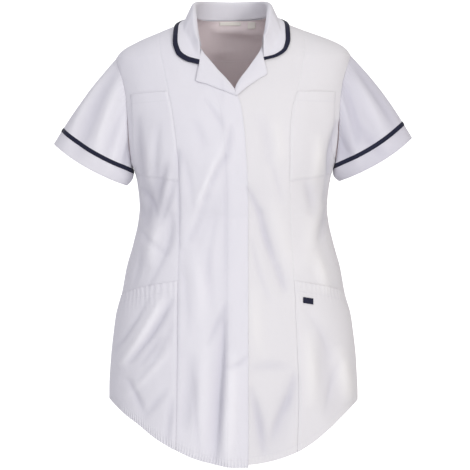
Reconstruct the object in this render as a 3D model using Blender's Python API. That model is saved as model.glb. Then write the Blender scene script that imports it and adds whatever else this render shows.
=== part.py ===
"""Maternity nurse tunic, worn form with no wearer: curved shells of cloth, hollow inside.

Right and left are the wearer's: right is at -X. The front faces -Y and +Z is up.
The origin lies between the two points where the neck meets the shoulders.
Tables give millimetres; every object is built in metres.
"""

import bmesh
import bpy
import numpy as np

MM = 0.001

# Cloth and seams
WALL = 1.2 * MM
SEAM_GAP = 0.3 * MM
LAYER = WALL + 0.35 * MM
TRIM_WALL = 1.5 * MM
LABEL_WALL = 0.8 * MM
LABEL_CLEARANCE = 0.9 * MM

# Sections of the body: rings that are nearly ellipses, a little squarer
SQUARENESS = 2.3
SHOULDER_POINT = -70.0 * MM
ARMPIT = -255.0 * MM

# Along the top of the shoulder, from the neck to the armhole: half width, height
SHOULDER_LINE = (
    (58.0, 7.5),
    (66.0, 4.5),
    (96.0, -7.5),
    (135.0, -24.0),
    (190.0, -49.5),
    (204.0, -60.0),
    (211.0, -70.0),
)
# The left shoulder is held a little higher than the right
LEFT_SHOULDER_RISE = 6.0 * MM
RISE_START = 100.0 * MM
RISE_END = 200.0 * MM
RISE_FOOT = -260.0 * MM
RISE_TOP = -90.0 * MM

# Height, half width, depth in front, depth behind
SECTIONS = (
    (8.0, 58.0, 43.0, 57.0),
    (-5.5, 96.0, 50.0, 61.0),
    (-21.5, 135.0, 60.0, 68.0),
    (-49.0, 190.0, 76.0, 79.0),
    (-70.0, 211.0, 87.0, 86.0),
    (-100.0, 212.0, 99.0, 93.0),
    (-134.0, 207.0, 111.0, 99.0),
    (-165.0, 203.0, 119.0, 103.0),
    (-200.0, 197.0, 127.0, 105.0),
    (-225.0, 192.0, 130.0, 105.5),
    (-255.0, 184.0, 132.0, 105.0),
    (-275.0, 177.0, 131.0, 103.0),
    (-295.0, 172.5, 129.0, 100.0),
    (-338.0, 168.5, 123.0, 94.0),
    (-360.0, 170.5, 120.0, 92.0),
    (-403.0, 180.0, 121.0, 93.0),
    (-446.0, 192.0, 124.0, 98.0),
    (-490.0, 200.0, 127.0, 104.0),
    (-533.0, 211.0, 130.0, 111.0),
    (-598.0, 219.0, 134.0, 118.0),
    (-675.0, 223.0, 137.0, 123.0),
    (-800.0, 224.0, 139.0, 125.0),
)

# Armhole seam: height, half width
ARMHOLE = (
    (-70.0, 211.0),
    (-90.0, 204.0),
    (-125.0, 194.0),
    (-155.0, 189.0),
    (-197.0, 187.5),
    (-225.0, 185.5),
    (-245.0, 184.3),
    (-255.0, 184.0),
)

# Princess seams: height, right half width, left half width
PRINCESS = (
    (-10.0, 133.0, 127.0),
    (-49.0, 131.0, 126.0),
    (-109.0, 119.5, 118.0),
    (-136.0, 114.0, 111.5),
    (-171.0, 107.0, 102.0),
    (-222.0, 100.4, 98.5),
    (-280.0, 96.0, 98.5),
    (-345.0, 94.6, 100.0),
    (-396.0, 95.2, 102.0),
    (-500.0, 98.0, 108.0),
    (-583.0, 98.0, 111.0),
    (-654.0, 98.5, 114.0),
    (-800.0, 101.0, 110.0),
)

# Inner edges of the fronts, measured outwards from the middle on each side:
# height, right edge, left edge. Roll line above the point of the neck, fly and underlap below.
FRONT_EDGES = (
    (7.5, 66.0, 60.0),
    (-10.0, 66.0, 59.0),
    (-30.0, 64.0, 56.0),
    (-57.0, 58.0, 50.0),
    (-90.0, 34.0, 30.0),
    (-134.0, -2.0, 5.0),
    (-150.0, -9.5, 2.0),
    (-165.0, -14.0, 0.5),
    (-234.0, -21.5, 0.0),
    (-321.0, -25.5, 0.0),
    (-800.0, -26.0, 0.0),
)
NECK_POINT = -134.0 * MM
FLY_STEP_START = -24.0 * MM
FLY_STEP_END = -14.0 * MM

# Shirt-tail hem: distance from the middle, height on the right, height on the left
HEM = (
    (0.0, -789.3, -785.5),
    (8.0, -788.8, -785.3),
    (30.0, -784.5, -784.2),
    (60.0, -777.0, -780.0),
    (107.0, -757.0, -766.0),
    (141.0, -737.0, -747.0),
    (166.0, -718.0, -727.0),
    (192.0, -700.0, -705.0),
    (224.0, -675.0, -678.0),
)

# Rows of points down the cloth, and the heights they reach at each line
POCKET_TOP_ROW = 5
YOKE_ROW = 3
ARMPIT_ROW = 11
POCKET_FOOT_ROW = 13
HIP_ROW = 22
HEM_ROW = 33
POCKET_TOP_ANGLE = 75.3
# Row, height at the middle front, at the princess seam, at the side and at the middle back
ROW_HEIGHTS = (
    (POCKET_TOP_ROW, -134.0, -136.0, -139.0, -105.0),
    (ARMPIT_ROW, -250.0, -250.0, -255.0, -255.0),
    (POCKET_FOOT_ROW, -292.0, -294.0, -276.0, -292.0),
    (HIP_ROW, -466.0, -467.0, -493.0, -475.0),
)
HEM_LINE = -740.0 * MM
BACK_NECK = 2.0 * MM
YOKE_SEAM = -66.0 * MM

# Columns of points round the cloth
FRONT_COLUMNS = 9
SIDE_COLUMNS = (0.0, 0.14, 0.28, 0.42, 0.55, 0.67, 0.78, 0.88, 1.0)
BACK_NECK_COLUMNS = 5
BACK_SHOULDER_COLUMNS = 7

# Main folds. Face, start across and height, end across and height, half breadth, depth
FOLDS = (
    ("front", -6.0, -200.0, -46.0, -305.0, 17.0, 3.0),
    ("front", -50.0, -300.0, -76.0, -385.0, 17.0, 3.0),
    ("front", -26.0, -318.0, -66.0, -400.0, 15.0, -2.4),
    ("front", -27.0, -545.0, -38.0, -775.0, 14.0, -5.0),
    ("front", -52.0, -560.0, -60.0, -770.0, 18.0, 3.5),
    ("front", -126.0, -505.0, -192.0, -615.0, 16.0, 3.5),
    ("front", -108.0, -505.0, -180.0, -612.0, 14.0, -3.0),
    ("front", -124.0, -270.0, -136.0, -335.0, 14.0, -3.0),
    ("front", -102.0, -265.0, -122.0, -330.0, 14.0, 3.0),
    ("front", 34.0, -310.0, 88.0, -480.0, 17.0, -2.8),
    ("front", 62.0, -330.0, 100.0, -450.0, 16.0, 2.4),
    ("front", 104.0, -640.0, 70.0, -765.0, 17.0, -4.0),
    ("front", 36.0, -680.0, 54.0, -775.0, 15.0, -3.0),
    ("front", 150.0, -330.0, 128.0, -440.0, 15.0, 3.0),
    ("front", 160.0, -560.0, 176.0, -700.0, 17.0, -3.5),
    ("back", -120.0, -290.0, -20.0, -372.0, 18.0, 3.5),
    ("back", 126.0, -300.0, 30.0, -385.0, 18.0, 3.0),
    ("back", -96.0, -330.0, 6.0, -412.0, 16.0, -3.0),
    ("back", -60.0, -520.0, -84.0, -760.0, 22.0, 4.5),
    ("back", 16.0, -560.0, 22.0, -775.0, 22.0, -4.0),
    ("back", 92.0, -520.0, 112.0, -750.0, 22.0, 4.5),
    ("back", -152.0, -560.0, -172.0, -700.0, 18.0, -4.0),
)
FOLD_FADE = 30.0 * MM

# Sleeve hem. Side, outer end across and height, inner end across and height
SLEEVE_HEMS = {
    "right": (323.0, -223.0, 191.5, -298.0),
    "left": (323.0, -215.0, 190.5, -290.0),
}
SLEEVE_HALF_DEPTH = 50.0 * MM
SLEEVE_PUFF = 7.0 * MM
SLEEVE_HEM_BOW = 8.0 * MM
CUFF_DEPTH = 26.0 * MM
PIPING_WIDTH = 7.5 * MM
SLEEVE_ROWS = 6
CUFF_ROWS = 2
# Sleeve folds. Turn round the sleeve from its top in degrees, half turn, depth
SLEEVE_FOLDS = (
    (62.0, 15.0, -3.5),
    (100.0, 15.0, 3.0),
    (292.0, 16.0, -3.5),
    (250.0, 16.0, 2.5),
)

# Collar, one half, measured from the middle of the neck: station from the middle back, then
# seam across and height, roll across, depth and height, leaf edge across, depth and height
NECK_MIDDLE = -3.0 * MM
NECK_HALF_WIDTH = 63.0 * MM
COLLAR = (
    (0.00, 0.0, 2.0, 0.0, 54.0, 36.0, 0.0, 76.0, -10.0),
    (0.20, 30.0, 3.0, 30.0, 47.0, 36.0, 44.0, 67.0, -9.0),
    (0.38, 54.0, 5.0, 51.0, 28.0, 34.5, 76.0, 40.0, -7.0),
    (0.52, 63.0, 5.5, 61.0, 1.0, 29.5, 88.0, 3.0, -3.0),
    (0.65, 63.0, 3.0, 63.5, -21.0, 22.5, 98.0, -28.0, -22.0),
    (0.78, 62.5, -5.0, 63.0, -41.0, 12.0, 102.5, -60.0, -48.0),
    (0.88, 61.0, -22.0, 61.0, -58.0, -9.0, 96.0, -72.0, -71.0),
    (0.95, 57.5, -40.0, 58.0, -71.0, -32.0, 78.0, -84.0, -84.0),
    (1.00, 54.0, -55.0, 54.5, -81.0, -48.5, 57.5, -94.0, -88.0),
)
COLLAR_SIDE = 0.52
COLLAR_STATIONS = 17
COLLAR_CROWDING = 0.72
LEAF_ROWS = 4
COLLAR_PIPING = 7.5 * MM
ROLL_RADIUS = 2.4 * MM
LEAF_LIFT = 3.2 * MM
SEAM_LIFT = 0.8 * MM
LEFT_RISE = 8.5 * MM

# Lapels: distance along the roll line, then outer edge across and height, right and left
LAPELS = (
    (0.00, 60.0, -89.5, 53.0, -81.0),
    (0.16, 63.5, -104.0, 57.5, -93.0),
    (0.32, 65.5, -117.0, 59.5, -104.0),
    (0.50, 48.0, -123.5, 46.0, -113.5),
    (0.75, 22.0, -134.0, 25.0, -128.5),
    (1.00, -1.0, -144.5, 6.0, -144.5),
)
LAPEL_ROWS = 9
LAPEL_COLUMNS = 4
LAPEL_TOPS = {"right": -60.0, "left": -55.0}
LAPEL_RISE = 1.6 * MM
LAPEL_ROLL = 2.2 * MM

# Small labels: low and high across, low and high height
POCKET_TAG = (121.0, 138.5, -505.5, -495.5)
TAG_TILT = -3.0 * MM
NECK_LABEL = (-26.0, 14.0, -4.5, 1.0)
SIZE_LABEL = (27.0, 41.0, -9.5, 1.0)

WHITE_CLOTH = (0.80, 0.79, 0.86, 1.0)
NAVY_TRIM = (0.012, 0.014, 0.036, 1.0)
CREAM_LABEL = (0.78, 0.74, 0.66, 1.0)


def through(table, column, first_unit=MM):
    """A smooth curve from a table's first column to another, with no overshoot, in metres."""
    rows = sorted((row[0], row[column]) for row in table)
    at = np.array([row[0] for row in rows]) * first_unit
    value = np.array([row[1] for row in rows]) * MM
    rise = np.diff(value) / np.diff(at)
    slope = np.zeros(len(at))
    slope[0] = rise[0]
    slope[-1] = rise[-1]
    for i in range(1, len(at) - 1):
        if rise[i - 1] * rise[i] > 0:
            slope[i] = 2 * rise[i - 1] * rise[i] / (rise[i - 1] + rise[i])

    def curve(place):
        place = np.clip(np.asarray(place, float), at[0], at[-1])
        i = np.clip(np.searchsorted(at, place) - 1, 0, len(at) - 2)
        span = at[i + 1] - at[i]
        t = (place - at[i]) / span
        low = (1 + 2 * t) * (1 - t) ** 2 * value[i] + t * (1 - t) ** 2 * span * slope[i]
        high = t * t * (3 - 2 * t) * value[i + 1] + t * t * (t - 1) * span * slope[i + 1]
        return low + high

    return curve


def mix(a, b, t):
    """From a to b as t goes from 0 to 1."""
    return a + (b - a) * t


def step(place, start, end):
    """A soft step from 0 at start to 1 at end."""
    t = np.clip((place - start) / (end - start), 0, 1)
    return t * t * (3 - 2 * t)


def unit(vector):
    """The same direction, one unit long."""
    length = np.linalg.norm(vector, axis=-1, keepdims=True)
    return vector / np.maximum(length, 1e-12)


shoulder_height = through(SHOULDER_LINE, 1)
section_width = through(SECTIONS, 1)
front_depth = through(SECTIONS, 2)
back_depth = through(SECTIONS, 3)
armhole_width = through(ARMHOLE, 1)
RIDGE_WIDTHS = np.linspace(58 * MM, 211 * MM, 1200)
RIDGE_HEIGHTS = shoulder_height(RIDGE_WIDTHS)


def half_width(height):
    """Half width of the body's ring: the shoulder line above, the sections below."""
    ridge = np.interp(height, RIDGE_HEIGHTS[::-1], RIDGE_WIDTHS[::-1])
    return np.where(height > SHOULDER_POINT, ridge, section_width(height))


def depth_at(across, height, face):
    """How far in front of the middle, or behind it, the body's surface lies."""
    share = np.clip(np.abs(across) / half_width(height), 0, 1) ** SQUARENESS
    reach = np.maximum(1 - share, 0) ** (1 / SQUARENESS)
    if face == "front":
        return -front_depth(height) * reach
    return back_depth(height) * reach


def outside(points):
    """Above 0 outside the body's surface, below 0 inside."""
    across, depth, height = points[..., 0], points[..., 1], points[..., 2]
    reach = np.where(depth < 0, front_depth(height), back_depth(height))
    wide = (np.abs(across) / half_width(height)) ** SQUARENESS
    deep = (np.abs(depth) / reach) ** SQUARENESS
    return wide + deep - 1


def slope_of(points):
    """Gradient of outside() at each point."""
    small = 0.4 * MM
    parts = []
    for axis in range(3):
        move = np.zeros(3)
        move[axis] = small
        parts.append((outside(points + move) - outside(points - move)) / (2 * small))
    return np.stack(parts, axis=-1)


def body_normal(points):
    """Direction straight out of the body's surface."""
    return unit(slope_of(points))


def lay(points, lift, only_out=False):
    """Move points along the body's normal until they lie the given distance above it."""
    points = np.array(points, float)
    for _ in range(8):
        slope = slope_of(points)
        size = np.linalg.norm(slope, axis=-1)
        short = lift - outside(points) / size
        if only_out:
            short = np.maximum(short, 0)
        points = points + unit(slope) * np.clip(short, -10 * MM, 10 * MM)[..., None]
    return points


def fold_height(points):
    """Height of the folds above the smooth surface, at each point of the body."""
    total = np.zeros(points.shape[:-1])
    for face, x0, z0, x1, z1, breadth, depth in FOLDS:
        start = np.array([x0, z0]) * MM
        run = np.array([x1, z1]) * MM - start
        place = points[..., [0, 2]] - start
        along = (place @ run) / (run @ run)
        foot = place - np.clip(along, 0, 1)[..., None] * run
        away = np.linalg.norm(foot, axis=-1) / (breadth * MM)
        taper = np.sin(np.pi * np.clip(0.12 + 0.76 * along, 0, 1))
        on_face = points[..., 1] < 0 if face == "front" else points[..., 1] > 0
        total += on_face * depth * MM * np.exp(-away * away) * taper
    return total * np.clip(np.abs(points[..., 1]) / FOLD_FADE, 0, 1)


def turn(across, height):
    """Angle round the ring at a distance from the middle, with its sign."""
    share = np.clip(np.abs(across) / half_width(height), 0, 1)
    return np.sign(across) * np.arcsin(share ** (SQUARENESS / 2))


def across_at(angle, width):
    """Distance from the middle at an angle round a ring of the given half width."""
    return np.sign(angle) * width * np.abs(np.sin(angle)) ** (2 / SQUARENESS)


def armhole_heights():
    """Heights of the rows where they end on the armhole, even round its oval."""
    row = np.arange(ARMPIT_ROW + 1)
    upper = POCKET_TOP_ANGLE * row / POCKET_TOP_ROW
    spare = (row - POCKET_TOP_ROW) / (ARMPIT_ROW - POCKET_TOP_ROW)
    angle = np.where(row < POCKET_TOP_ROW, upper, mix(POCKET_TOP_ANGLE, 180.0, spare))
    middle = (SHOULDER_POINT + ARMPIT) / 2
    heights = middle + (SHOULDER_POINT - ARMPIT) / 2 * np.cos(np.radians(angle))
    return heights, np.radians(angle)


def line_heights(column, top, bunching):
    """Heights of all rows down to the hip along one line of ROW_HEIGHTS."""
    rows = [line[0] for line in ROW_HEIGHTS]
    heights = [line[column] * MM for line in ROW_HEIGHTS]
    row = np.arange(HIP_ROW + 1)
    lower = np.interp(row, rows, heights)
    upper = mix(top, heights[0], (row / POCKET_TOP_ROW) ** bunching)
    return np.where(row < POCKET_TOP_ROW, upper, lower)


def side_heights():
    """Heights of all rows down to the hip along the armhole and the side seam."""
    heights = line_heights(3, SHOULDER_POINT, 1)
    heights[: ARMPIT_ROW + 1] = armhole_heights()[0]
    return heights


def side_width(height):
    """Half width of the cloth's outer edge: armhole above the armpit, side seam below."""
    return np.where(height > ARMPIT, armhole_width(height), half_width(height))


def panel(hand, inner, outer, inner_heights, outer_heights, fractions):
    """Points of one front panel between two edges, rows from shoulder to hem."""
    side = -1 if hand == "right" else 1
    hem = through(HEM, 1 if hand == "right" else 2)
    low_turn = mix(turn(inner(HEM_LINE), HEM_LINE), turn(outer(HEM_LINE), HEM_LINE), fractions)
    hem_heights = hem(np.maximum(across_at(low_turn, half_width(HEM_LINE)), 0))
    grid = np.zeros((HEM_ROW + 1, len(fractions), 3))
    row_five = mix(inner_heights[POCKET_TOP_ROW], outer_heights[POCKET_TOP_ROW], fractions)
    for row in range(HEM_ROW + 1):
        if row <= HIP_ROW:
            low, high = inner_heights[row], outer_heights[row]
            heights = mix(low, high, fractions)
        else:
            share = (row - HIP_ROW) / (HEM_ROW - HIP_ROW)
            hip = mix(inner_heights[HIP_ROW], outer_heights[HIP_ROW], fractions)
            heights = mix(hip, hem_heights, share)
            low, high = heights[0], heights[-1]
        ends = inner(low), outer(high)
        straight = mix(ends[0], ends[1], fractions)
        if row < POCKET_TOP_ROW:
            drop = []
            for edge, height, five in zip(ends, (low, high), (row_five[0], row_five[-1])):
                ridge = shoulder_height(edge)
                drop.append((ridge - height) / (ridge - five))
            share = mix(drop[0], drop[1], fractions)
            across = straight
            heights = mix(shoulder_height(across), row_five, share)
        else:
            bend = np.clip((row - POCKET_TOP_ROW) / (ARMPIT_ROW - POCKET_TOP_ROW), 0, 1)
            angle = mix(turn(ends[0], low), turn(ends[1], high), fractions)
            width = mix(half_width(low), half_width(high), fractions)
            across = mix(straight, across_at(angle, width), bend)
        across = np.clip(across, -half_width(heights), half_width(heights))
        depth = depth_at(across, heights, "front")
        if row == 0:
            depth = np.zeros(len(fractions))
        if row >= ARMPIT_ROW and outer is side_width:
            across[-1] = half_width(heights[-1])
            depth[-1] = 0.0
        grid[row] = np.stack((side * across, depth, heights), axis=-1)
    return grid


def back_top(across):
    """Height of the back's top edge: neck seam in the middle, shoulder line beyond it."""
    from_middle = across - NECK_MIDDLE
    corner = NECK_MIDDLE + np.sign(from_middle) * NECK_HALF_WIDTH
    share = np.clip(np.abs(from_middle) / NECK_HALF_WIDTH, 0, 1)
    neck = mix(BACK_NECK, shoulder_height(np.abs(corner)), share**2)
    return np.where(share < 1, neck, shoulder_height(np.abs(across)))


def back_half(hand):
    """Points of one half of the back and yoke, from the middle out to the armhole."""
    side = -1 if hand == "right" else 1
    corner = np.abs(NECK_MIDDLE + side * NECK_HALF_WIDTH) / side_width(SHOULDER_POINT)
    neck = corner * np.sin(np.linspace(0, np.pi / 2, BACK_NECK_COLUMNS + 1))
    shoulder = np.linspace(corner, 1, BACK_SHOULDER_COLUMNS + 1)[1:]
    fractions = np.concatenate((neck, shoulder))
    middle = line_heights(4, BACK_NECK, 1)
    spread = np.arange(ARMPIT_ROW + 1) / YOKE_ROW
    upper = mix(BACK_NECK, YOKE_SEAM, np.clip(spread, 0, 1) ** 1.5)
    share = np.clip((np.arange(ARMPIT_ROW + 1) - YOKE_ROW) / (ARMPIT_ROW - YOKE_ROW), 0, 1)
    middle[: ARMPIT_ROW + 1] = mix(upper, middle[ARMPIT_ROW], share)
    outer = side_heights()
    hem = through(HEM, 1 if hand == "right" else 2)
    low_turn = turn(half_width(HEM_LINE), HEM_LINE) * fractions
    hem_heights = hem(across_at(low_turn, half_width(HEM_LINE)))
    grid = np.zeros((HEM_ROW + 1, len(fractions), 3))
    for row in range(HEM_ROW + 1):
        if row <= HIP_ROW:
            low, high = middle[row], outer[row]
            heights = mix(low, high, fractions**2)
        else:
            share = (row - HIP_ROW) / (HEM_ROW - HIP_ROW)
            hip = mix(middle[HIP_ROW], outer[HIP_ROW], fractions**2)
            heights = mix(hip, hem_heights, share)
            high = heights[-1]
        edge = side_width(high)
        angle = turn(edge, high)
        bent = edge * (np.sin(angle * fractions) / np.sin(angle)) ** (2 / SQUARENESS)
        across = mix(edge * fractions, bent, min(row / ARMPIT_ROW, 1))
        if row < ARMPIT_ROW:
            armpit = mix(middle[ARMPIT_ROW], outer[ARMPIT_ROW], fractions**2)
            top_ends = back_top(0.0), shoulder_height(edge)
            first = (top_ends[0] - low) / (top_ends[0] - armpit[0])
            last = (top_ends[1] - high) / (top_ends[1] - armpit[-1])
            heights = mix(back_top(side * across), armpit, mix(first, last, fractions**2))
        across = np.minimum(across, half_width(heights))
        depth = depth_at(across, heights, "back")
        if row == 0:
            depth = np.where(fractions < corner - 1e-9, depth, 0.0)
        if row >= ARMPIT_ROW:
            depth[-1] = 0.0
        grid[row] = np.stack((side * across, depth, heights), axis=-1)
    return grid


def folded(grid):
    """The grid with its folds raised along the body's normal, and the normals."""
    normals = body_normal(grid)
    return grid + normals * fold_height(grid)[..., None], normals


def trimmed(grid, gaps):
    """Move the grid's edges in by half a seam gap: top, bottom, first and last column."""
    grid = grid.copy()
    inner = grid.copy()
    half = SEAM_GAP / 2
    if gaps[0]:
        grid[0] += unit(inner[1] - inner[0]) * half
    if gaps[1]:
        grid[-1] += unit(inner[-2] - inner[-1]) * half
    if gaps[2]:
        grid[:, 0] += unit(inner[:, 1] - inner[:, 0]) * half
    if gaps[3]:
        grid[:, -1] += unit(inner[:, -2] - inner[:, -1]) * half
    return grid


def raised(points):
    """The points with the left shoulder lifted, and the sleeve that hangs from it."""
    share = step(points[..., 0], RISE_START, RISE_END) * step(points[..., 2], RISE_FOOT, RISE_TOP)
    return points + LEFT_SHOULDER_RISE * share[..., None] * np.array((0, 0, 1))


def cloth(name, outer, inner, material, closed=False):
    """One closed solid between two grids of points; closed grids run right round a tube."""
    outer, inner = raised(outer), raised(inner)
    rows, columns = outer.shape[:2]
    mesh = bpy.data.meshes.new(name)
    build = bmesh.new()
    faces = []
    sheets = []
    for grid in (outer, inner):
        sheets.append([[build.verts.new(point) for point in line] for line in grid])
    last = columns if closed else columns - 1
    for r in range(rows - 1):
        for c in range(last):
            n = (c + 1) % columns
            for sheet, order in zip(sheets, (1, -1)):
                a, b = sheet[r][c], sheet[r][n]
                d, e = sheet[r + 1][c], sheet[r + 1][n]
                faces.append((a, b, e)[::order])
                faces.append((a, e, d)[::order])
    for r, order in ((0, -1), (rows - 1, 1)):
        for c in range(last):
            n = (c + 1) % columns
            a, b = sheets[0][r][c], sheets[0][r][n]
            d, e = sheets[1][r][c], sheets[1][r][n]
            faces.append((a, b, e)[::order])
            faces.append((a, e, d)[::order])
    if not closed:
        for c, order in ((0, 1), (columns - 1, -1)):
            for r in range(rows - 1):
                a, b = sheets[0][r][c], sheets[0][r + 1][c]
                d, e = sheets[1][r][c], sheets[1][r + 1][c]
                faces.append((a, b, e)[::order])
                faces.append((a, e, d)[::order])
    for face in faces:
        build.faces.new(face)
    bmesh.ops.recalc_face_normals(build, faces=build.faces)
    build.to_mesh(mesh)
    build.free()
    mesh.shade_smooth()
    mesh.set_sharp_from_angle(angle=np.radians(50))
    mesh.materials.append(material)
    piece = bpy.data.objects.new(name, mesh)
    bpy.context.scene.collection.objects.link(piece)
    return piece


def finish(name, color, roughness):
    """One Principled material."""
    material = bpy.data.materials.new(name)
    material.use_nodes = True
    shader = material.node_tree.nodes["Principled BSDF"]
    shader.inputs["Base Color"].default_value = color
    shader.inputs["Roughness"].default_value = roughness
    shader.inputs["Metallic"].default_value = 0.0
    return material


def own_finish(name):
    """The material of one piece, from its kind of cloth."""
    if "piping" in name or "tag" in name:
        return finish(name, NAVY_TRIM, 0.7)
    if "label" in name:
        return finish(name, CREAM_LABEL, 0.75)
    return finish(name, WHITE_CLOTH, 0.85)


def fly_lift(across):
    """How far the right front stands over the left where it laps it."""
    return (LAYER + 0.1 * MM) * step(across, FLY_STEP_START, FLY_STEP_END)


def sleeve_ring(front, back):
    """The armhole's points right round, from the shoulder down the front and up behind."""
    return np.concatenate((front[: ARMPIT_ROW + 1, -1], back[ARMPIT_ROW - 1 : 0 : -1, -1]))


def sleeve_points(hand, ring, shares):
    """Points of the sleeve, one row for each share of the way from armhole to hem.

    A share may differ round the sleeve, so shares is a grid of rows and columns.
    """
    side = -1 if hand == "right" else 1
    outer_x, outer_z, inner_x, inner_z = (value * MM for value in SLEEVE_HEMS[hand])
    high = np.array((side * outer_x, 0, outer_z))
    low = np.array((side * inner_x, 0, inner_z))
    half = armhole_heights()[1]
    angle = np.concatenate((half, 2 * np.pi - half[-2:0:-1]))
    radial = (
        np.cos(angle)[:, None] * (high - low) / 2
        + np.sin(angle)[:, None] * np.array((0, -SLEEVE_HALF_DEPTH, 0))
    )
    across_hem = unit(high - low)
    outward = side * np.array((across_hem[2], 0, -across_hem[0]))
    hem = (high + low) / 2 + radial + SLEEVE_HEM_BOW * np.sin(angle)[:, None] ** 2 * outward
    puff = SLEEVE_PUFF * (0.5 + 0.5 * np.cos(angle) + 0.6 * np.abs(np.sin(angle)))
    for at, breadth, depth in SLEEVE_FOLDS:
        away = (np.degrees(angle) - at) / breadth
        puff = puff + depth * MM * np.exp(-away * away)
    rows = []
    for share in shares:
        swell = (np.sin(np.pi * share) * puff)[:, None] * unit(radial)
        rows.append(mix(ring, hem, share[:, None]) + swell)
    return np.array(rows), unit(radial), np.linalg.norm(hem - ring, axis=-1)


def tube_normals(grid, radial):
    """Normals of a tube's grid, facing away from its middle."""
    round_way = np.roll(grid, -1, axis=1) - np.roll(grid, 1, axis=1)
    down = np.gradient(grid, axis=0)
    normals = unit(np.cross(round_way, down))
    sign = np.sign(np.sum(normals * radial[None], axis=-1, keepdims=True))
    flip = np.sign(np.sum(sign))
    return normals * flip


def make_sleeve(hand, ring):
    """Sleeve, piping and cuff of one side. Gives the normals shared at the armhole."""
    flat = np.ones(len(ring))
    _, radial, length = sleeve_points(hand, ring, [flat])
    pipe_start = 1 - (CUFF_DEPTH + PIPING_WIDTH) / length
    cuff_start = 1 - CUFF_DEPTH / length
    shares = [pipe_start * t for t in np.linspace(0, 1, SLEEVE_ROWS + 1)]
    shares += [cuff_start]
    shares += [mix(cuff_start, flat, t) for t in np.linspace(0, 1, CUFF_ROWS + 1)[1:]]
    grid, radial, _ = sleeve_points(hand, ring, shares)
    normals = tube_normals(grid, radial)
    body = body_normal(ring)
    agree = np.maximum(np.sum(body * normals[0], axis=-1, keepdims=True), 0)
    shared = unit(body + agree * normals[0])
    normals[0] = unit(normals[0] + agree * body)
    pipe = SLEEVE_ROWS
    parts = (
        ("sleeve_", 0, pipe, WALL, 0.0),
        ("sleeve_piping_", pipe, pipe + 1, TRIM_WALL, 0.4 * MM),
        ("cuff_", pipe + 1, len(shares) - 1, WALL, 0.0),
    )
    for stem, start, end, wall, proud in parts:
        rows = slice(start, end + 1)
        points = grid[rows] + normals[rows] * proud
        points = trimmed(points, (True, stem != "cuff_", False, False))
        name = stem + hand
        cloth(name, points, points - normals[rows] * wall, own_finish(name), closed=True)
    return shared


def make_collar():
    """Stand, roll and leaf in one piece, and the piping round the leaf."""
    curves = [through(COLLAR, column, 1.0) for column in range(1, 9)]
    stations = np.linspace(0, 1, COLLAR_STATIONS + 1) ** COLLAR_CROWDING
    half = np.stack([curve(stations) for curve in curves], axis=-1)
    seam = np.stack((half[:, 0], np.zeros(len(half)), half[:, 1]), axis=-1)
    for i, (across, _, height) in enumerate(seam):
        face = "back" if stations[i] < COLLAR_SIDE else "front"
        seam[i, 1] = depth_at(across, height, face)
    roll = half[:, 2:5]
    edge = half[:, 5:8]
    away = unit((edge - roll) * np.array((1, 1, 0)))
    up = np.array((0, 0, 1))
    profile = [seam, mix(seam, roll, 0.5), roll]
    profile.append(roll + away * ROLL_RADIUS + up * ROLL_RADIUS)
    shoulder = roll + away * ROLL_RADIUS * 2
    leaf_end = edge + unit(shoulder - edge) * COLLAR_PIPING
    profile += [mix(shoulder, leaf_end, t) for t in np.linspace(0, 1, LEAF_ROWS + 1)]
    profile.append(edge)
    right = np.array(profile)
    right[..., 0] = NECK_MIDDLE - right[..., 0]
    left = np.array(profile)
    left[..., 0] = NECK_MIDDLE + left[..., 0]
    left[..., 2] += LEFT_RISE * step(stations, COLLAR_SIDE, 1.0)
    grid = np.concatenate((right[:, ::-1], left[:, 1:]), axis=1)
    grid[0] = lay(grid[0], SEAM_LIFT)
    grid[4:] = lay(grid[4:], LEAF_LIFT, only_out=True)
    grid[-1] = lay(grid[-1], LEAF_LIFT)
    normals = sheet_normals(grid)
    join = len(profile) - 2
    for name, rows in (("collar", slice(0, join + 1)), ("collar_piping", slice(join, None))):
        points = trimmed(grid[rows], (name != "collar", name == "collar", False, False))
        cloth(name, points, points - normals[rows] * WALL, own_finish(name))


def sheet_normals(grid):
    """Normals of an open grid, outwards where the grid lies in front."""
    down = np.gradient(grid, axis=0)
    along = np.gradient(grid, axis=1)
    normals = unit(np.cross(down, along))
    middle = normals[-1, normals.shape[1] // 2]
    return normals * (1 if middle[1] > 0 else -1)


def make_lapel(hand):
    """The turned-back top of one front, from the roll line out to its edge."""
    side = -1 if hand == "right" else 1
    first = 1 if hand == "right" else 3
    edge = through(FRONT_EDGES, 1 if hand == "right" else 2)
    start = LAPEL_TOPS[hand] * MM
    along = np.linspace(0, 1, LAPEL_ROWS + 1)
    roll_height = mix(start, NECK_POINT, along)
    roll_across = edge(roll_height) - 0.6 * MM
    edge_across = through(LAPELS, first, 1.0)(along)
    edge_height = through(LAPELS, first + 1, 1.0)(along)
    grid = np.zeros((LAPEL_ROWS + 1, LAPEL_COLUMNS + 1, 3))
    lift = np.zeros(grid.shape[:2])
    for c, share in enumerate(np.linspace(0, 1, LAPEL_COLUMNS + 1)):
        across = mix(roll_across, edge_across, share)
        height = mix(roll_height, edge_height, share)
        depth = depth_at(across, height, "front")
        grid[:, c] = np.stack((side * across, depth, height), axis=-1)
        lift[:, c] = WALL + 0.4 * MM + LAPEL_RISE * share + LAPEL_ROLL * np.sin(np.pi * share)
    if hand == "right":
        lift += fly_lift(grid[..., 0])
    else:
        lift += (LAYER + 0.3 * MM) * step(-grid[..., 0], -32 * MM, -14 * MM)
    normals = body_normal(grid)
    outer = grid + normals * lift[..., None]
    name = "lapel_" + hand
    cloth(name, outer, outer - normals * WALL, own_finish(name))


def make_pocket(name, grid, normals, first, last, columns):
    """A pocket: part of the panel's own points, moved out."""
    rows = slice(first, last + 1)
    points = grid[rows, :columns] + normals[rows, :columns] * LAYER
    points = trimmed(points, (False, False, True, False))
    cloth(name, points, points - normals[rows, :columns] * WALL, own_finish(name))


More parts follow.
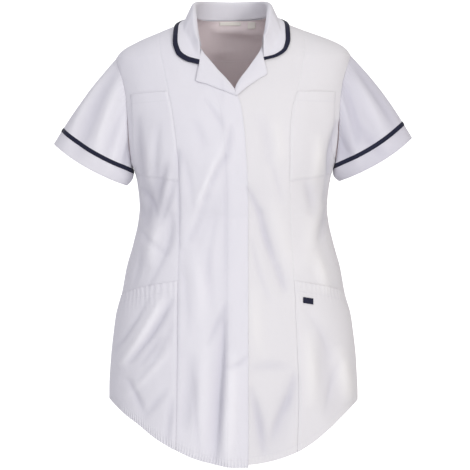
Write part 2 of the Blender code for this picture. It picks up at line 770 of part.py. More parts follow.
def make_label(name, size, face, lift, tilt=0.0):
    """A small flat label that follows the surface it is sewn to."""
    low_x, high_x, low_z, high_z = (value * MM for value in size)
    grid = np.zeros((3, 5, 3))
    for c, across in enumerate(np.linspace(low_x, high_x, 5)):
        height = np.linspace(high_z, low_z, 3) + tilt * c / 4
        grid[:, c] = np.stack((np.full(3, across), depth_at(across, height, face), height), axis=-1)
    points, normals = folded(grid)
    points = points + normals * lift
    cloth(name, points, points - normals * LABEL_WALL, own_finish(name))


def make_body():
    """Fronts, sides, back and yoke, their pockets, and the sleeves set into them."""
    backs = {}
    shared = {}
    fractions = np.linspace(0, 1, FRONT_COLUMNS + 1)
    for column, hand in ((1, "right"), (2, "left")):
        edge = through(FRONT_EDGES, column)
        princess = through(PRINCESS, column)
        neck_top = float(shoulder_height(edge(7.5 * MM)))
        seam_top = float(shoulder_height(princess(-20 * MM)))
        middle = line_heights(1, neck_top, 1.5)
        seam = line_heights(2, seam_top, 2)
        front = panel(hand, edge, princess, middle, seam, fractions)
        side = panel(hand, princess, side_width, seam, side_heights(), np.array(SIDE_COLUMNS))
        back = back_half(hand)
        shared[hand] = make_sleeve(hand, sleeve_ring(side, back))
        side, side_normals = folded(side)
        side_normals[: ARMPIT_ROW + 1, -1] = shared[hand][: ARMPIT_ROW + 1]
        points = trimmed(side, (True, False, True, True))
        name = "side_front_" + hand
        cloth(name, points, points - side_normals * WALL, own_finish(name))
        make_pocket("chest_pocket_" + hand, side, side_normals,
                    POCKET_TOP_ROW, POCKET_FOOT_ROW, len(SIDE_COLUMNS) - 1)
        make_pocket("hip_pocket_" + hand, side, side_normals,
                    HIP_ROW, HEM_ROW, len(SIDE_COLUMNS) - 1)
        front, normals = folded(front)
        if hand == "right":
            front = front + normals * fly_lift(front[..., 0])[..., None]
        points = trimmed(front, (True, False, False, True))
        name = "front_" + hand
        cloth(name, points, points - normals * WALL, own_finish(name))
        backs[hand] = back
    back = np.concatenate((backs["right"][:, ::-1], backs["left"][:, 1:]), axis=1)
    back, normals = folded(back)
    for hand, column in (("right", 0), ("left", -1)):
        ring = shared[hand]
        normals[0, column] = ring[0]
        normals[1:ARMPIT_ROW, column] = ring[ARMPIT_ROW + 1 :][::-1]
        normals[ARMPIT_ROW, column] = ring[ARMPIT_ROW]
    yoke = slice(0, YOKE_ROW + 1)
    body = slice(YOKE_ROW, HEM_ROW + 1)
    points = trimmed(back[yoke], (True, True, True, True))
    cloth("back_yoke", points, points - normals[yoke] * WALL, own_finish("back_yoke"))
    points = trimmed(back[body], (True, False, True, True))
    cloth("back", points, points - normals[body] * WALL, own_finish("back"))


def main():
    for old in list(bpy.data.objects):
        bpy.data.objects.remove(old, do_unlink=True)
    make_body()
    make_collar()
    for hand in ("right", "left"):
        make_lapel(hand)
    make_label("pocket_tag", POCKET_TAG, "front", LAYER + LABEL_WALL + 0.5 * MM, TAG_TILT)
    for name, size in (("neck_label", NECK_LABEL), ("size_label", SIZE_LABEL)):
        make_label(name, size, "back", -WALL - LABEL_CLEARANCE)


main()
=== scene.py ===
"""Looks of a maternity nurse tunic: each cut piece is a fine thin shell on its solid's form.

Right and left are the wearer's: right is at -X. The front faces -Y and +Z is up.
Tables give millimetres; everything is built in metres.
"""

import bpy
import numpy as np
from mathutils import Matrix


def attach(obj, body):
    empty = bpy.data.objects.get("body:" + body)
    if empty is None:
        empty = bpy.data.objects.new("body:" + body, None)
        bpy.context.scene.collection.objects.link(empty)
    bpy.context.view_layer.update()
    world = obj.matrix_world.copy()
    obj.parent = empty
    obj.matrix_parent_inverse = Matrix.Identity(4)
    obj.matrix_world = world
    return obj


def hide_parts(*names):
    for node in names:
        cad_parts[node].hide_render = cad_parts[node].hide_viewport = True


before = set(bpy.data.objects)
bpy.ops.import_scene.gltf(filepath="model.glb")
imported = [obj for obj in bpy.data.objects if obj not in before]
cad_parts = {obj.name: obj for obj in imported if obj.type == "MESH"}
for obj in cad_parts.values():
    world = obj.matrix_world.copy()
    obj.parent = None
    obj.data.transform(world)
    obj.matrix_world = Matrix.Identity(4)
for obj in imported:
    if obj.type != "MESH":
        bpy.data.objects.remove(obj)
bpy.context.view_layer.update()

MM = 0.001
TINY = 1e-12
SIDES = {"right": -1, "left": 1}
# Column of each side in the tables that give the right first and the left second
SIDE_COLUMNS = {"right": 1, "left": 2}

# Cloth
CLOTH_WALL = 1.0 * MM
LAYER = 1.55 * MM
SEWN_LIFT = 0.4 * MM
SEWN_WALL = 0.6 * SEWN_LIFT
SEWN_REACH = 5.0 * MM
TRIM_WALL = 1.3 * MM
LABEL_WALL = 0.6 * MM
LABEL_CLEARANCE = 1.1 * MM
SEAM_GAP = 0.16 * MM
SEAM_DIP = 0.26 * MM
SEAM_BREADTH = 1.6 * MM
RIM_ROUNDING = 0.3

# Spacing of the points
DOWN_STEP = 0.15
ACROSS_STEP = 3.4 * MM
EDGE_STEPS = (0.7 * MM, 1.6 * MM, 3.0 * MM, 5.0 * MM)
HEM_STEPS = (0.025, 0.06, 0.11, 0.18, 0.26, 0.35)
SHOULDER_STEPS = 48
NECK_COLUMNS = 19
FRONT_WIDTH = 110.0 * MM
SIDE_FRONT_WIDTH = 160.0 * MM

# Sections of the body: rings that are nearly ellipses, a little squarer
SQUARENESS = 2.3
SLOPE_STEP = 0.4 * MM
LAY_ROUNDS = 8
LAY_REACH = 10.0 * MM
SHOULDER_POINT = -70.0 * MM
ARMPIT = -255.0 * MM

# Along the top of the shoulder, from the neck to the armhole: half width, height
SHOULDER_LINE = (
    (58, 7.5),
    (66, 4.5),
    (96, -7.5),
    (135, -24),
    (190, -49.5),
    (204, -60),
    (211, -70),
)
RIDGE_POINTS = 1200
# The left shoulder is held a little higher than the right
LEFT_SHOULDER_RISE = 6.0 * MM
RISE_START = 100.0 * MM
RISE_END = 200.0 * MM
RISE_FOOT = -260.0 * MM
RISE_TOP = -90.0 * MM

# Height, half width, depth in front, depth behind
SECTIONS = (
    (8, 58, 43, 57),
    (-5.5, 96, 50, 61),
    (-21.5, 135, 60, 68),
    (-49, 190, 76, 79),
    (-70, 211, 87, 86),
    (-100, 212, 99, 93),
    (-134, 207, 111, 99),
    (-165, 203, 119, 103),
    (-200, 197, 127, 105),
    (-225, 192, 130, 105.5),
    (-255, 184, 132, 105),
    (-275, 177, 131, 103),
    (-295, 172.5, 129, 100),
    (-338, 168.5, 123, 94),
    (-360, 170.5, 120, 92),
    (-403, 180, 121, 93),
    (-446, 192, 124, 98),
    (-490, 200, 127, 104),
    (-533, 211, 130, 111),
    (-598, 219, 134, 118),
    (-675, 223, 137, 123),
    (-800, 224, 139, 125),
)

# Armhole seam: height, half width
ARMHOLE = (
    (-70, 211),
    (-90, 204),
    (-125, 194),
    (-155, 189),
    (-197, 187.5),
    (-225, 185.5),
    (-245, 184.3),
    (-255, 184),
)

# Princess seams: height, right half width, left half width
PRINCESS = (
    (-10, 133, 127),
    (-49, 131, 126),
    (-109, 119.5, 118),
    (-136, 114, 111.5),
    (-171, 107, 102),
    (-222, 100.4, 98.5),
    (-280, 96, 98.5),
    (-345, 94.6, 100),
    (-396, 95.2, 102),
    (-500, 98, 108),
    (-583, 98, 111),
    (-654, 98.5, 114),
    (-800, 101, 110),
)

# Inner edges of the fronts, measured outwards from the middle on each side:
# height, right edge, left edge. Roll line above the point of the neck, fly and underlap below.
FRONT_EDGES = (
    (7.5, 66, 60),
    (-10, 66, 59),
    (-30, 64, 56),
    (-57, 58, 50),
    (-90, 34, 30),
    (-134, -2, 3.2),
    (-150, -9.5, 1.4),
    (-165, -14, 0.5),
    (-234, -21.5, 0),
    (-321, -25.5, 0),
    (-800, -26, 0),
)
NECK_POINT = -134.0 * MM
FLY_STEP_START = -24.0 * MM
FLY_STEP_END = -14.0 * MM

# Shirt-tail hem: distance from the middle, height on the right, height on the left
HEM = (
    (0, -789.3, -785.5),
    (8, -788.8, -785.3),
    (30, -784.5, -784.2),
    (60, -777, -780),
    (107, -757, -766),
    (141, -737, -747),
    (166, -718, -727),
    (192, -700, -705),
    (224, -675, -678),
)

# Lines across the cloth, counted in rows from the shoulder
POCKET_TOP_ROW = 5
YOKE_ROW = 3
ARMPIT_ROW = 11
POCKET_FOOT_ROW = 13
HIP_ROW = 22
HEM_ROW = 33
LAST_EVEN_ROW = HEM_ROW - 0.5
MARK_MOVES = (-0.09, -0.04, 0.0, 0.04, 0.09)
POCKET_TOP_ANGLE = 75.3
# Row, height at the middle front, at the princess seam, at the side and at the middle back
ROW_HEIGHTS = (
    (POCKET_TOP_ROW, -134, -136, -139, -105),
    (ARMPIT_ROW, -250, -250, -255, -255),
    (POCKET_FOOT_ROW, -292, -294, -276, -292),
    (HIP_ROW, -466, -467, -493, -475),
)
HEM_LINE = -740.0 * MM
BACK_NECK = 4.5 * MM
YOKE_SEAM = -66.0 * MM
YOKE_BUNCHING = 1.5
# Rows crowd towards the shoulder line by these powers, and start at these heights of the edges
FRONT_BUNCHING = 1.5
PRINCESS_BUNCHING = 2
FRONT_TOP = 7.5 * MM
PRINCESS_TOP = -20.0 * MM

# Pockets. Their side and corner are shares of the side front's breadth and of their own
POCKET_SIDE = 0.88
POCKET_STEPS = (0.006, 0.016, 0.030)
CHEST_POCKET_CORNER = 0.10
CORNER_START = 0.72
MOUTH_GAPE = 0.9 * MM
GAPE_FADE = 6.0

# Creases, by face. Start across and height, end across and height, half breadth, depth, bow,
# and how much narrower the crease is on its left
CREASES = {
    "front": (
        (-12, -215, -12, -548, 6, -2.2, 0, 0.4),
        (-12, -618, 24, -598, 5, -2.2, -3, 1),
        (-96.5, -240, -95.5, -410, 4, -2, 0, 1),
        (-96, -400, -100.5, -740, 3.5, -1, 0, 1),
        (-6, -200, -46, -305, 17, 3.4, 0, 1),
        (-50, -300, -76, -385, 17, 3.4, 0, 1),
        (-26, -318, -66, -400, 15, -2.8, 0, 1),
        (-52, -560, -60, -770, 18, 4, 0, 1),
        (-126, -505, -192, -615, 16, 4, 0, 1),
        (-108, -505, -180, -612, 14, -3.4, 0, 1),
        (-124, -270, -136, -335, 14, -3.4, 0, 1),
        (-102, -265, -122, -330, 14, 3.4, 0, 1),
        (34, -310, 88, -480, 17, -3.2, 0, 1),
        (62, -330, 100, -450, 16, 2.8, 0, 1),
        (104, -640, 70, -765, 17, -4.6, 0, 1),
        (36, -680, 54, -775, 15, -3.4, 0, 1),
        (150, -330, 128, -440, 15, 3.4, 0, 1),
        (160, -560, 176, -700, 17, -4, 0, 1),
        (-19, -540, -34, -780, 17, -8.5, 4, 0.4),
        (-14, -510, -32, -778, 6, -3.8, 4, 0.7),
        (-176, -265, -160, -352, 4.5, -2.2, -4, 1),
        (-168, -300, -134, -352, 4.5, -1.8, 3, 1),
        (-170, -372, -118, -420, 5.5, -1.8, -3, 1),
        (-112, -392, -150, -478, 5, -1.6, 4, 1),
        (-164, -410, -176, -478, 6, -1.8, 2, 1),
        (-150, -500, -208, -590, 5, -2.2, 3, 1),
        (-104, -540, -164, -640, 5, -1.8, 4, 1),
        (-112, -590, -190, -672, 6, 1.8, 3, 1),
        (-66, -640, -58, -776, 5, -1.6, -3, 1),
        (-88, -250, -70, -352, 6, -1.2, 4, 1),
        (-90, -440, -80, -560, 6, -1.2, 4, 1),
        (-28, -350, -44, -470, 5, -1.2, -4, 1),
        (168, -240, 158, -330, 4.5, -1.6, 3, 1),
        (60, -250, 84, -330, 5, -1, 3, 1),
        (30, -390, 62, -500, 5, -1.2, -3, 1),
        (128, -520, 170, -600, 6, -1.2, 3, 1),
        (190, -600, 160, -700, 6, -1.4, -3, 1),
        (-4, -600, -10, -778, 11, 6.2, 0, 1),
        (-17, -514, -44, -578, 5.5, -2.4, 0, 1),
        (-5, -196, -15, -262, 6, -3.4, 2, 1),
        (-14, -250, -50, -326, 6, -3.8, -3, 1),
        (-47, -318, -78, -396, 7, -2.9, 3, 1),
        (-34, -262, -62, -330, 8, 2.9, 2, 1),
        (-50, -150, -14, -208, 4.5, -1.5, 2, 1),
        (-70, -186, -52, -236, 9, -2, 2, 1),
        (-168, -180, -156, -318, 8, -3.8, -3, 1),
        (-146, -210, -156, -330, 8, 1.4, 2, 1),
        (-130, -196, -140, -310, 7, -2, 0, 1),
        (-116, -262, -140, -352, 7, -2.8, -2, 1),
        (-98, -240, -112, -330, 7, -2.2, 2, 1),
        (-104, -296, -128, -368, 6, -2, 0, 1),
        (-150, -300, -158, -372, 9, -4.7, 3, 1),
        (-128, -360, -146, -438, 11, 4.7, -4, 1),
        (-108, -350, -118, -420, 8, -2.9, 2, 1),
        (-126, -502, -197, -616, 5, 3.4, 4, 1),
        (-107, -500, -182, -610, 5, -4, 4, 1),
        (-126, -566, -160, -614, 5, -2.4, 0, 1),
        (-186, -640, -158, -696, 6.5, -3.2, 2, 1),
        (-116, -656, -156, -706, 6.5, -2.8, 0, 1),
        (-106, -672, -116, -748, 6, -3, 0, 1),
        (-74, -600, -86, -720, 12, -4.7, 3, 1),
        (-70, -430, -58, -540, 13, 3.4, 4, 1),
        (-48, -410, -34, -520, 7, -1.4, -3, 1),
        (24, -304, 47, -352, 5, -2.4, 0, 1),
        (45, -342, 77, -444, 6, -3.4, -3, 1),
        (76, -440, 90, -484, 6, -2.5, 0, 1),
        (30, -618, 98, -616, 9, -2.5, 3, 1),
        (106, -626, 90, -694, 6.5, -2.8, 2, 1),
        (94, -670, 68, -742, 7, -2.8, -2, 1),
        (30, -654, 52, -764, 6.5, -3.2, 3, 1),
        (46, -180, 60, -260, 11, -2.4, 4, 1),
        (74, -190, 82, -262, 12, 2.5, 0, 1),
        (34, -480, 46, -590, 13, 2.9, -4, 1),
        (184, -190, 170, -276, 7, -6.2, -3, 1),
        (150, -216, 142, -290, 9, 3.2, 2, 1),
        (128, -292, 140, -352, 9, -3.2, 3, 1),
        (172, -306, 152, -396, 9, -4, 3, 1),
        (146, -420, 164, -486, 11, 4, 0, 1),
        (128, -560, 134, -680, 12, 4, 4, 1),
        (186, -590, 204, -676, 11, 5.2, 0, 1),
    ),
    "back": (
        (-34, -13, 50, -18, 10, -8, 3, 1),
        (-46, -52, 10, -46, 8, -2.5, -3, 1),
        (-120, -290, -20, -372, 18, 4.5, 0, 1),
        (126, -300, 30, -385, 18, 3.9, 0, 1),
        (-96, -330, 6, -412, 16, -3.9, 0, 1),
        (-60, -520, -84, -760, 22, 5.9, 0, 1),
        (16, -560, 22, -775, 22, -5.2, 0, 1),
        (92, -520, 112, -750, 22, 5.9, 0, 1),
        (-152, -560, -172, -700, 18, -5.2, 0, 1),
        (-124, -280, -44, -330, 6, 0.8, 6, 1),
        (128, -290, 56, -352, 6, 0.7, -5, 1),
        (96, -330, 10, -404, 9, -2, -4, 1),
        (-148, -268, -96, -330, 8, -2, 3, 1),
        (152, -262, 108, -322, 8, -2, -3, 1),
        (-164, -180, -150, -262, 9, -2.3, 3, 1),
        (166, -176, 150, -268, 9, -2.1, -3, 1),
        (-120, -112, -138, -190, 10, 1.6, 0, 1),
        (108, -118, 126, -200, 10, 1.3, 3, 1),
        (-34, -130, -22, -230, 13, -1.2, 3, 1),
        (44, -150, 30, -250, 13, 1.2, -3, 1),
        (-40, -440, -52, -560, 12, 1.8, 4, 1),
        (52, -450, 66, -600, 12, -2, 3, 1),
        (-112, -600, -128, -742, 9, -2.1, 3, 1),
        (-22, -640, -30, -784, 9, 2, -2, 1),
        (60, -650, 70, -770, 8, -2, 2, 1),
        (146, -590, 166, -706, 10, -2.3, 3, 1),
        (182, -560, 200, -676, 12, 2.6, 0, 1),
        (-192, -600, -206, -680, 10, 2.3, 0, 1),
    ),
}
CREASE_FADE = 30.0 * MM
SEAM_FLAT = 3.0 * MM
# Crease depth that gives full painted shade, and how much more painted shade the slim creases get
PAINTED_SHADE_DEPTH = 5.0 * MM
NARROW_CREASE = 7.0
CREASE_TIP = 0.12
# Range of the painted crease shade: below 0 is painted light on ridges, 1 is full painted shade
PAINTED_SHADE_RANGE = (-0.6, 1.0)

# Slow unevenness of the cloth: waves across, waves down, turn, height
SWELLS = (
    (11, 5, 0.4, 0.35),
    (-7, 9, 1.9, 0.3),
    (17, -4, 3.1, 0.22),
    (5, 16, 4.4, 0.18),
    (26, 11, 5.2, 0.12),
)

# Sleeve hem, by side: outer end across and height, inner end across and height
SLEEVE_HEMS = {
    "right": (323, -223, 191.5, -298),
    "left": (321.5, -213, 190.5, -290),
}
SLEEVE_HALF_DEPTH = 50.0 * MM
SLEEVE_PUFF = 5.0 * MM
SLEEVE_HEM_BOW = 8.0 * MM
FRONT_PUFF_SHARE = 0.6
UNDERARM_PUFF = 9.0 * MM
UNDERARM_BREADTH = 42.0
CUFF_DEPTH = 26.0 * MM
PIPING_WIDTH = 7.5 * MM
SLEEVE_COLUMNS = 120
SLEEVE_ROWS = 46
PIPING_ROWS = 6
CUFF_ROWS = 14
SLEEVE_STEPS = (0.006, 0.014, 0.028, 0.045)
CUFF_STEPS = (0.03, 0.07, 0.13)
PIPING_LIFT = 0.3 * MM
PIPING_BULGE = 0.7 * MM
# Sleeve folds. Turn round the sleeve from its top in degrees, half turn, depth
SLEEVE_FOLDS = (
    (62, 15, -3.5),
    (100, 15, 3),
    (292, 16, -3.5),
    (250, 16, 2.5),
)
# Finer sleeve creases. Turn and share at each end, half breadth in degrees, depth
BACK_SLEEVE_CREASES = (
    (332, 0.05, 312, 0.75, 8, -2.4),
    (300, 0.02, 286, 0.95, 7, 2),
    (276, 0.15, 268, 0.90, 7, -2.2),
    (236, 0.05, 226, 0.70, 8, -3),
)
SLEEVE_CREASES = {
    "right": BACK_SLEEVE_CREASES + (
        (30, -0.10, 74, 1.05, 11, -5),
        (16, 0.05, 48, 1.00, 8, 2.4),
        (56, 0.02, 96, 0.92, 7, 2.6),
        (84, -0.05, 108, 0.80, 8, -3.2),
        (104, 0.25, 122, 1.00, 7, 1.8),
        (132, -0.10, 142, 0.75, 11, -4.2),
        (6, 0.40, 20, 1.05, 7, -1.8),
    ),
    "left": BACK_SLEEVE_CREASES + (
        (62, -0.10, 102, 0.62, 9, -4.6),
        (46, 0.05, 66, 0.95, 8, 2.4),
        (26, -0.05, 42, 0.95, 9, -3.4),
        (88, 0.30, 80, 1.05, 7, -2.6),
        (104, 0.35, 116, 1.00, 8, 2),
        (128, -0.10, 120, 0.70, 11, -4.2),
        (150, 0.05, 150, 0.70, 8, 1.8),
    ),
}
# Share of painted shade laid evenly over the whole sleeve, for the creases too fine to lay out; it
# darkens the left sleeve
SLEEVE_PAINTED_SHADE = {"right": 0.02, "left": 0.92}
# Range of the sleeve's painted shade, below 0 painted light on ridges
SLEEVE_PAINTED_SHADE_RANGE = (-0.6, 1.4)

# Collar, one half, measured from the middle of the neck: station from the middle back, then
# seam across and height, roll across, depth and height, leaf edge across, depth and height
NECK_MIDDLE = -3.0 * MM
NECK_HALF_WIDTH = 63.0 * MM
COLLAR = (
    (0.00, 0, 4.5, 0, 54, 36, 0, 76, -10),
    (0.20, 30, 4.8, 30, 47, 36, 44, 67, -9),
    (0.38, 54, 5, 51, 28, 34.5, 76, 40, -7),
    (0.52, 63, 5.5, 61, 1, 29.5, 88, 3, -3),
    (0.65, 63, 3, 63.5, -21, 22.5, 98, -28, -22),
    (0.78, 62.5, -5, 63, -41, 12, 102.5, -60, -48),
    (0.88, 61, -22, 61, -58, -9, 96, -72, -71),
    (0.95, 57.5, -40, 58, -71, -32, 78, -84, -84),
    (1.00, 54, -55, 54.5, -81, -48.5, 57.5, -94, -88),
)
COLLAR_SIDE = 0.52
COLLAR_STATIONS = 80
COLLAR_CROWDING = 0.72
LEAF_ROWS = 22
STAND_ROWS = 10
ROLL_ROWS = 8
COLLAR_PIPING = 9.0 * MM
LEFT_PIPING_END = 0.6
PIPING_TAPER = (0.78, 0.98)
COLLAR_PIPING_ROWS = 7
COLLAR_BULGE = 0.6 * MM
ROLL_RADIUS = 4.2 * MM
ROLL_RISE = 2.6 * MM
LEAF_LIFT = 3.2 * MM
SEAM_LIFT = 0.8 * MM
LEFT_RISE = 8.5 * MM

# Lapels: distance along the roll line, then outer edge across and height, right and left
LAPELS = (
    (0.00, 60, -89.5, 53, -81),
    (0.16, 63.5, -104, 57.5, -93),
    (0.32, 65.5, -117, 59.5, -104),
    (0.50, 48, -123.5, 46, -113.5),
    (0.75, 22, -134, 25, -128.5),
    (1.00, -4.6, -145, 5.4, -145.5),
)
LAPEL_ROWS = 44
LAPEL_COLUMNS = 22
LAPEL_TOPS = {"right": -60.0, "left": -55.0}
LAPEL_INSET = 0.6 * MM
LAPEL_LIFT = 1.6 * MM
LAPEL_RISE = 0.6 * MM
LAPEL_ROLL = 2.2 * MM
# The left lapel climbs over the right front's edge
LEFT_LAPEL_CLIMB = LAYER + 0.3 * MM
LEFT_CLIMB_START = -32.0 * MM
LEFT_CLIMB_END = -14.0 * MM

# Small labels: low and high across, low and high height
POCKET_TAG = (121.0, 138.5, -505.5, -495.5)
TAG_TILT = -3.0 * MM
NECK_LABEL = (-26.0, 14.0, -2.5, 3.0)
SIZE_LABEL = (27.0, 41.0, -7.5, 3.0)
LABEL_COLUMNS = 20
LABEL_ROWS = 9
TAG_LIFT = LAYER + LABEL_WALL + LABEL_CLEARANCE
LABEL_LIFT = -1.2 * MM - LABEL_CLEARANCE


def through(table, column, first_unit=MM):
    """A smooth curve from a table's first column to another, with no overshoot, in metres."""
    rows = sorted((row[0], row[column]) for row in table)
    at = np.array([row[0] for row in rows]) * first_unit
    value = np.array([row[1] for row in rows]) * MM
    rise = np.diff(value) / np.diff(at)
    slope = np.zeros(len(at))
    slope[0] = rise[0]
    slope[-1] = rise[-1]
    for i in range(1, len(at) - 1):
        if rise[i - 1] * rise[i] > 0:
            slope[i] = 2 * rise[i - 1] * rise[i] / (rise[i - 1] + rise[i])

    def curve(place):
        place = np.clip(np.asarray(place, float), at[0], at[-1])
        i = np.clip(np.searchsorted(at, place) - 1, 0, len(at) - 2)
        span = at[i + 1] - at[i]
        t = (place - at[i]) / span
        low = (1 + 2 * t) * (1 - t) ** 2 * value[i] + t * (1 - t) ** 2 * span * slope[i]
        high = t * t * (3 - 2 * t) * value[i + 1] + t * t * (t - 1) * span * slope[i + 1]
        return low + high

    return curve


def mix(a, b, t):
    """From a to b as t goes from 0 to 1."""
    return a + (b - a) * t


def step(place, start, end):
    """A soft step from 0 at start to 1 at end."""
    t = np.clip((place - start) / (end - start), 0, 1)
    return t * t * (3 - 2 * t)


def unit(vector):
    """The same direction, one unit long."""
    length = np.linalg.norm(vector, axis=-1, keepdims=True)
    return vector / np.maximum(length, TINY)


shoulder_height = through(SHOULDER_LINE, 1)
section_width = through(SECTIONS, 1)
front_depth = through(SECTIONS, 2)
back_depth = through(SECTIONS, 3)
armhole_width = through(ARMHOLE, 1)
RIDGE_WIDTHS = np.linspace(SHOULDER_LINE[0][0] * MM, SHOULDER_LINE[-1][0] * MM, RIDGE_POINTS)
RIDGE_HEIGHTS = shoulder_height(RIDGE_WIDTHS)


def half_width(height):
    """Half width of the body's ring: the shoulder line above, the sections below."""
    ridge = np.interp(height, RIDGE_HEIGHTS[::-1], RIDGE_WIDTHS[::-1])
    return np.where(height > SHOULDER_POINT, ridge, section_width(height))


def depth_at(across, height, face):
    """How far in front of the middle, or behind it, the body's surface lies."""
    share = np.clip(np.abs(across) / half_width(height), 0, 1) ** SQUARENESS
    reach = np.maximum(1 - share, 0) ** (1 / SQUARENESS)
    if face == "front":
        return -front_depth(height) * reach
    return back_depth(height) * reach


def outside(points):
    """Above 0 outside the body's surface, below 0 inside."""
    across, depth, height = points[..., 0], points[..., 1], points[..., 2]
    reach = np.where(depth < 0, front_depth(height), back_depth(height))
    wide = (np.abs(across) / half_width(height)) ** SQUARENESS
    deep = (np.abs(depth) / reach) ** SQUARENESS
    return wide + deep - 1


def slope_of(points):
    """Gradient of outside() at each point."""
    parts = []
    for axis in range(3):
        move = np.zeros(3)
        move[axis] = SLOPE_STEP
        parts.append((outside(points + move) - outside(points - move)) / (2 * SLOPE_STEP))
    return np.stack(parts, axis=-1)


def body_normal(points):
    """Direction straight out of the body's surface."""
    return unit(slope_of(points))


def lay(points, lift, only_out=False):
    """Move points along the body's normal until they lie the given distance above it."""
    points = np.array(points, float)
    for _ in range(LAY_ROUNDS):
        slope = slope_of(points)
        size = np.linalg.norm(slope, axis=-1)
        short = lift - outside(points) / size
        if only_out:
            short = np.maximum(short, 0)
        points = points + unit(slope) * np.clip(short, -LAY_REACH, LAY_REACH)[..., None]
    return points


def crease_field(points):
    """Height of the creases and swells above the smooth surface, at each point of the body,
    and its depth in the creases, weighted towards the slim ones, which sets the painted crease
    shade."""
    total = np.zeros(points.shape[:-1])
    painted_crease_shade = np.zeros(points.shape[:-1])
    for face, rows in CREASES.items():
        on_face = points[..., 1] < 0 if face == "front" else points[..., 1] > 0
        for x0, z0, x1, z1, breadth, depth, bow, skew in rows:
            start = np.array([x0, z0]) * MM
            run = np.array([x1, z1]) * MM - start
            side = np.array([-run[1], run[0]]) / np.linalg.norm(run)
            place = points[..., [0, 2]] - start
            along = (place @ run) / (run @ run)
            inside = np.clip(along, 0, 1)[..., None]
            bent = inside * run + 4 * bow * MM * inside * (1 - inside) * side
            reach = np.where((place - bent) @ side > 0, breadth * skew, breadth) * MM
            away = np.linalg.norm(place - bent, axis=-1) / reach
            taper = np.sin(np.pi * np.clip(CREASE_TIP + (1 - 2 * CREASE_TIP) * along, 0, 1))
            height = on_face * depth * MM * np.exp(-away * away) * taper
            total += height
            painted_crease_shade -= height * NARROW_CREASE / breadth
    for across, down, turned, height in SWELLS:
        wave = across * points[..., 0] + down * points[..., 2]
        total += height * MM * np.sin(2 * np.pi * wave + turned)
    fade = np.clip((np.abs(points[..., 1]) - SEAM_FLAT) / CREASE_FADE, 0, 1)
    return total * fade, painted_crease_shade * fade


def crease_height(points):
    """Height of the creases and swells alone."""
    return crease_field(points)[0]


def turn(across, height):
    """Angle round the ring at a distance from the middle, with its sign."""
    share = np.clip(np.abs(across) / half_width(height), 0, 1)
    return np.sign(across) * np.arcsin(share ** (SQUARENESS / 2))


def across_at(angle, width):
    """Distance from the middle at an angle round a ring of the given half width."""
    return np.sign(angle) * width * np.abs(np.sin(angle)) ** (2 / SQUARENESS)


def armhole_height(angle):
    """Height of the armhole's oval at an angle from its top."""
    middle = (SHOULDER_POINT + ARMPIT) / 2
    return middle + (SHOULDER_POINT - ARMPIT) / 2 * np.cos(angle)


def line_heights(rows, column, top, bunching):
    """Heights of the given rows along one line of ROW_HEIGHTS, down to the hip."""
    at = [line[0] for line in ROW_HEIGHTS]
    heights = [line[column] * MM for line in ROW_HEIGHTS]
    upper = mix(top, heights[0], (rows / POCKET_TOP_ROW) ** bunching)
    return np.where(rows < POCKET_TOP_ROW, upper, np.interp(rows, at, heights))


def side_heights(rows):
    """Heights of the given rows along the armhole and the side seam."""
    upper = POCKET_TOP_ANGLE * rows / POCKET_TOP_ROW
    spare = (rows - POCKET_TOP_ROW) / (ARMPIT_ROW - POCKET_TOP_ROW)
    angle = np.where(rows < POCKET_TOP_ROW, upper, mix(POCKET_TOP_ANGLE, 180.0, spare))
    oval = armhole_height(np.radians(np.minimum(angle, 180.0)))
    return np.where(rows <= ARMPIT_ROW, oval, line_heights(rows, 3, SHOULDER_POINT, 1))


def side_width(height):
    """Half width of the cloth's outer edge: armhole above the armpit, side seam below."""
    return np.where(height > ARMPIT, armhole_width(height), half_width(height))


def spread(length, pitch, steps=EDGE_STEPS):
    """Shares from 0 to 1 along a length, close together at both ends and even between."""
    steps = np.array(steps)
    inner = length - 2 * steps[-1]
    count = max(int(round(inner / pitch)), 1)
    middle = steps[-1] + inner * np.arange(1, count) / count
    return np.concatenate(([0], steps, middle, length - steps[::-1], [length])) / length


def fine_rows():
    """Rows from shoulder to hem: close at the shoulder line, the yoke seam and the hem."""
    upper = POCKET_TOP_ROW * np.linspace(0, 1, SHOULDER_STEPS + 1) ** 2
    count = int(round((LAST_EVEN_ROW - POCKET_TOP_ROW) / DOWN_STEP))
    lower = np.linspace(POCKET_TOP_ROW, LAST_EVEN_ROW, count + 1)[1:]
    hem = HEM_ROW - np.array(HEM_STEPS[::-1] + (0.0,))
    marks = [YOKE_ROW, ARMPIT_ROW, POCKET_FOOT_ROW, HIP_ROW]
    close = [mark + move for mark in marks for move in MARK_MOVES]
    return np.unique(np.round(np.concatenate((upper, lower, hem, close)), 5))


ROWS = fine_rows()


def row_index(row):
    """Index in ROWS of one of the named rows."""
    return int(np.argmin(np.abs(ROWS - row)))


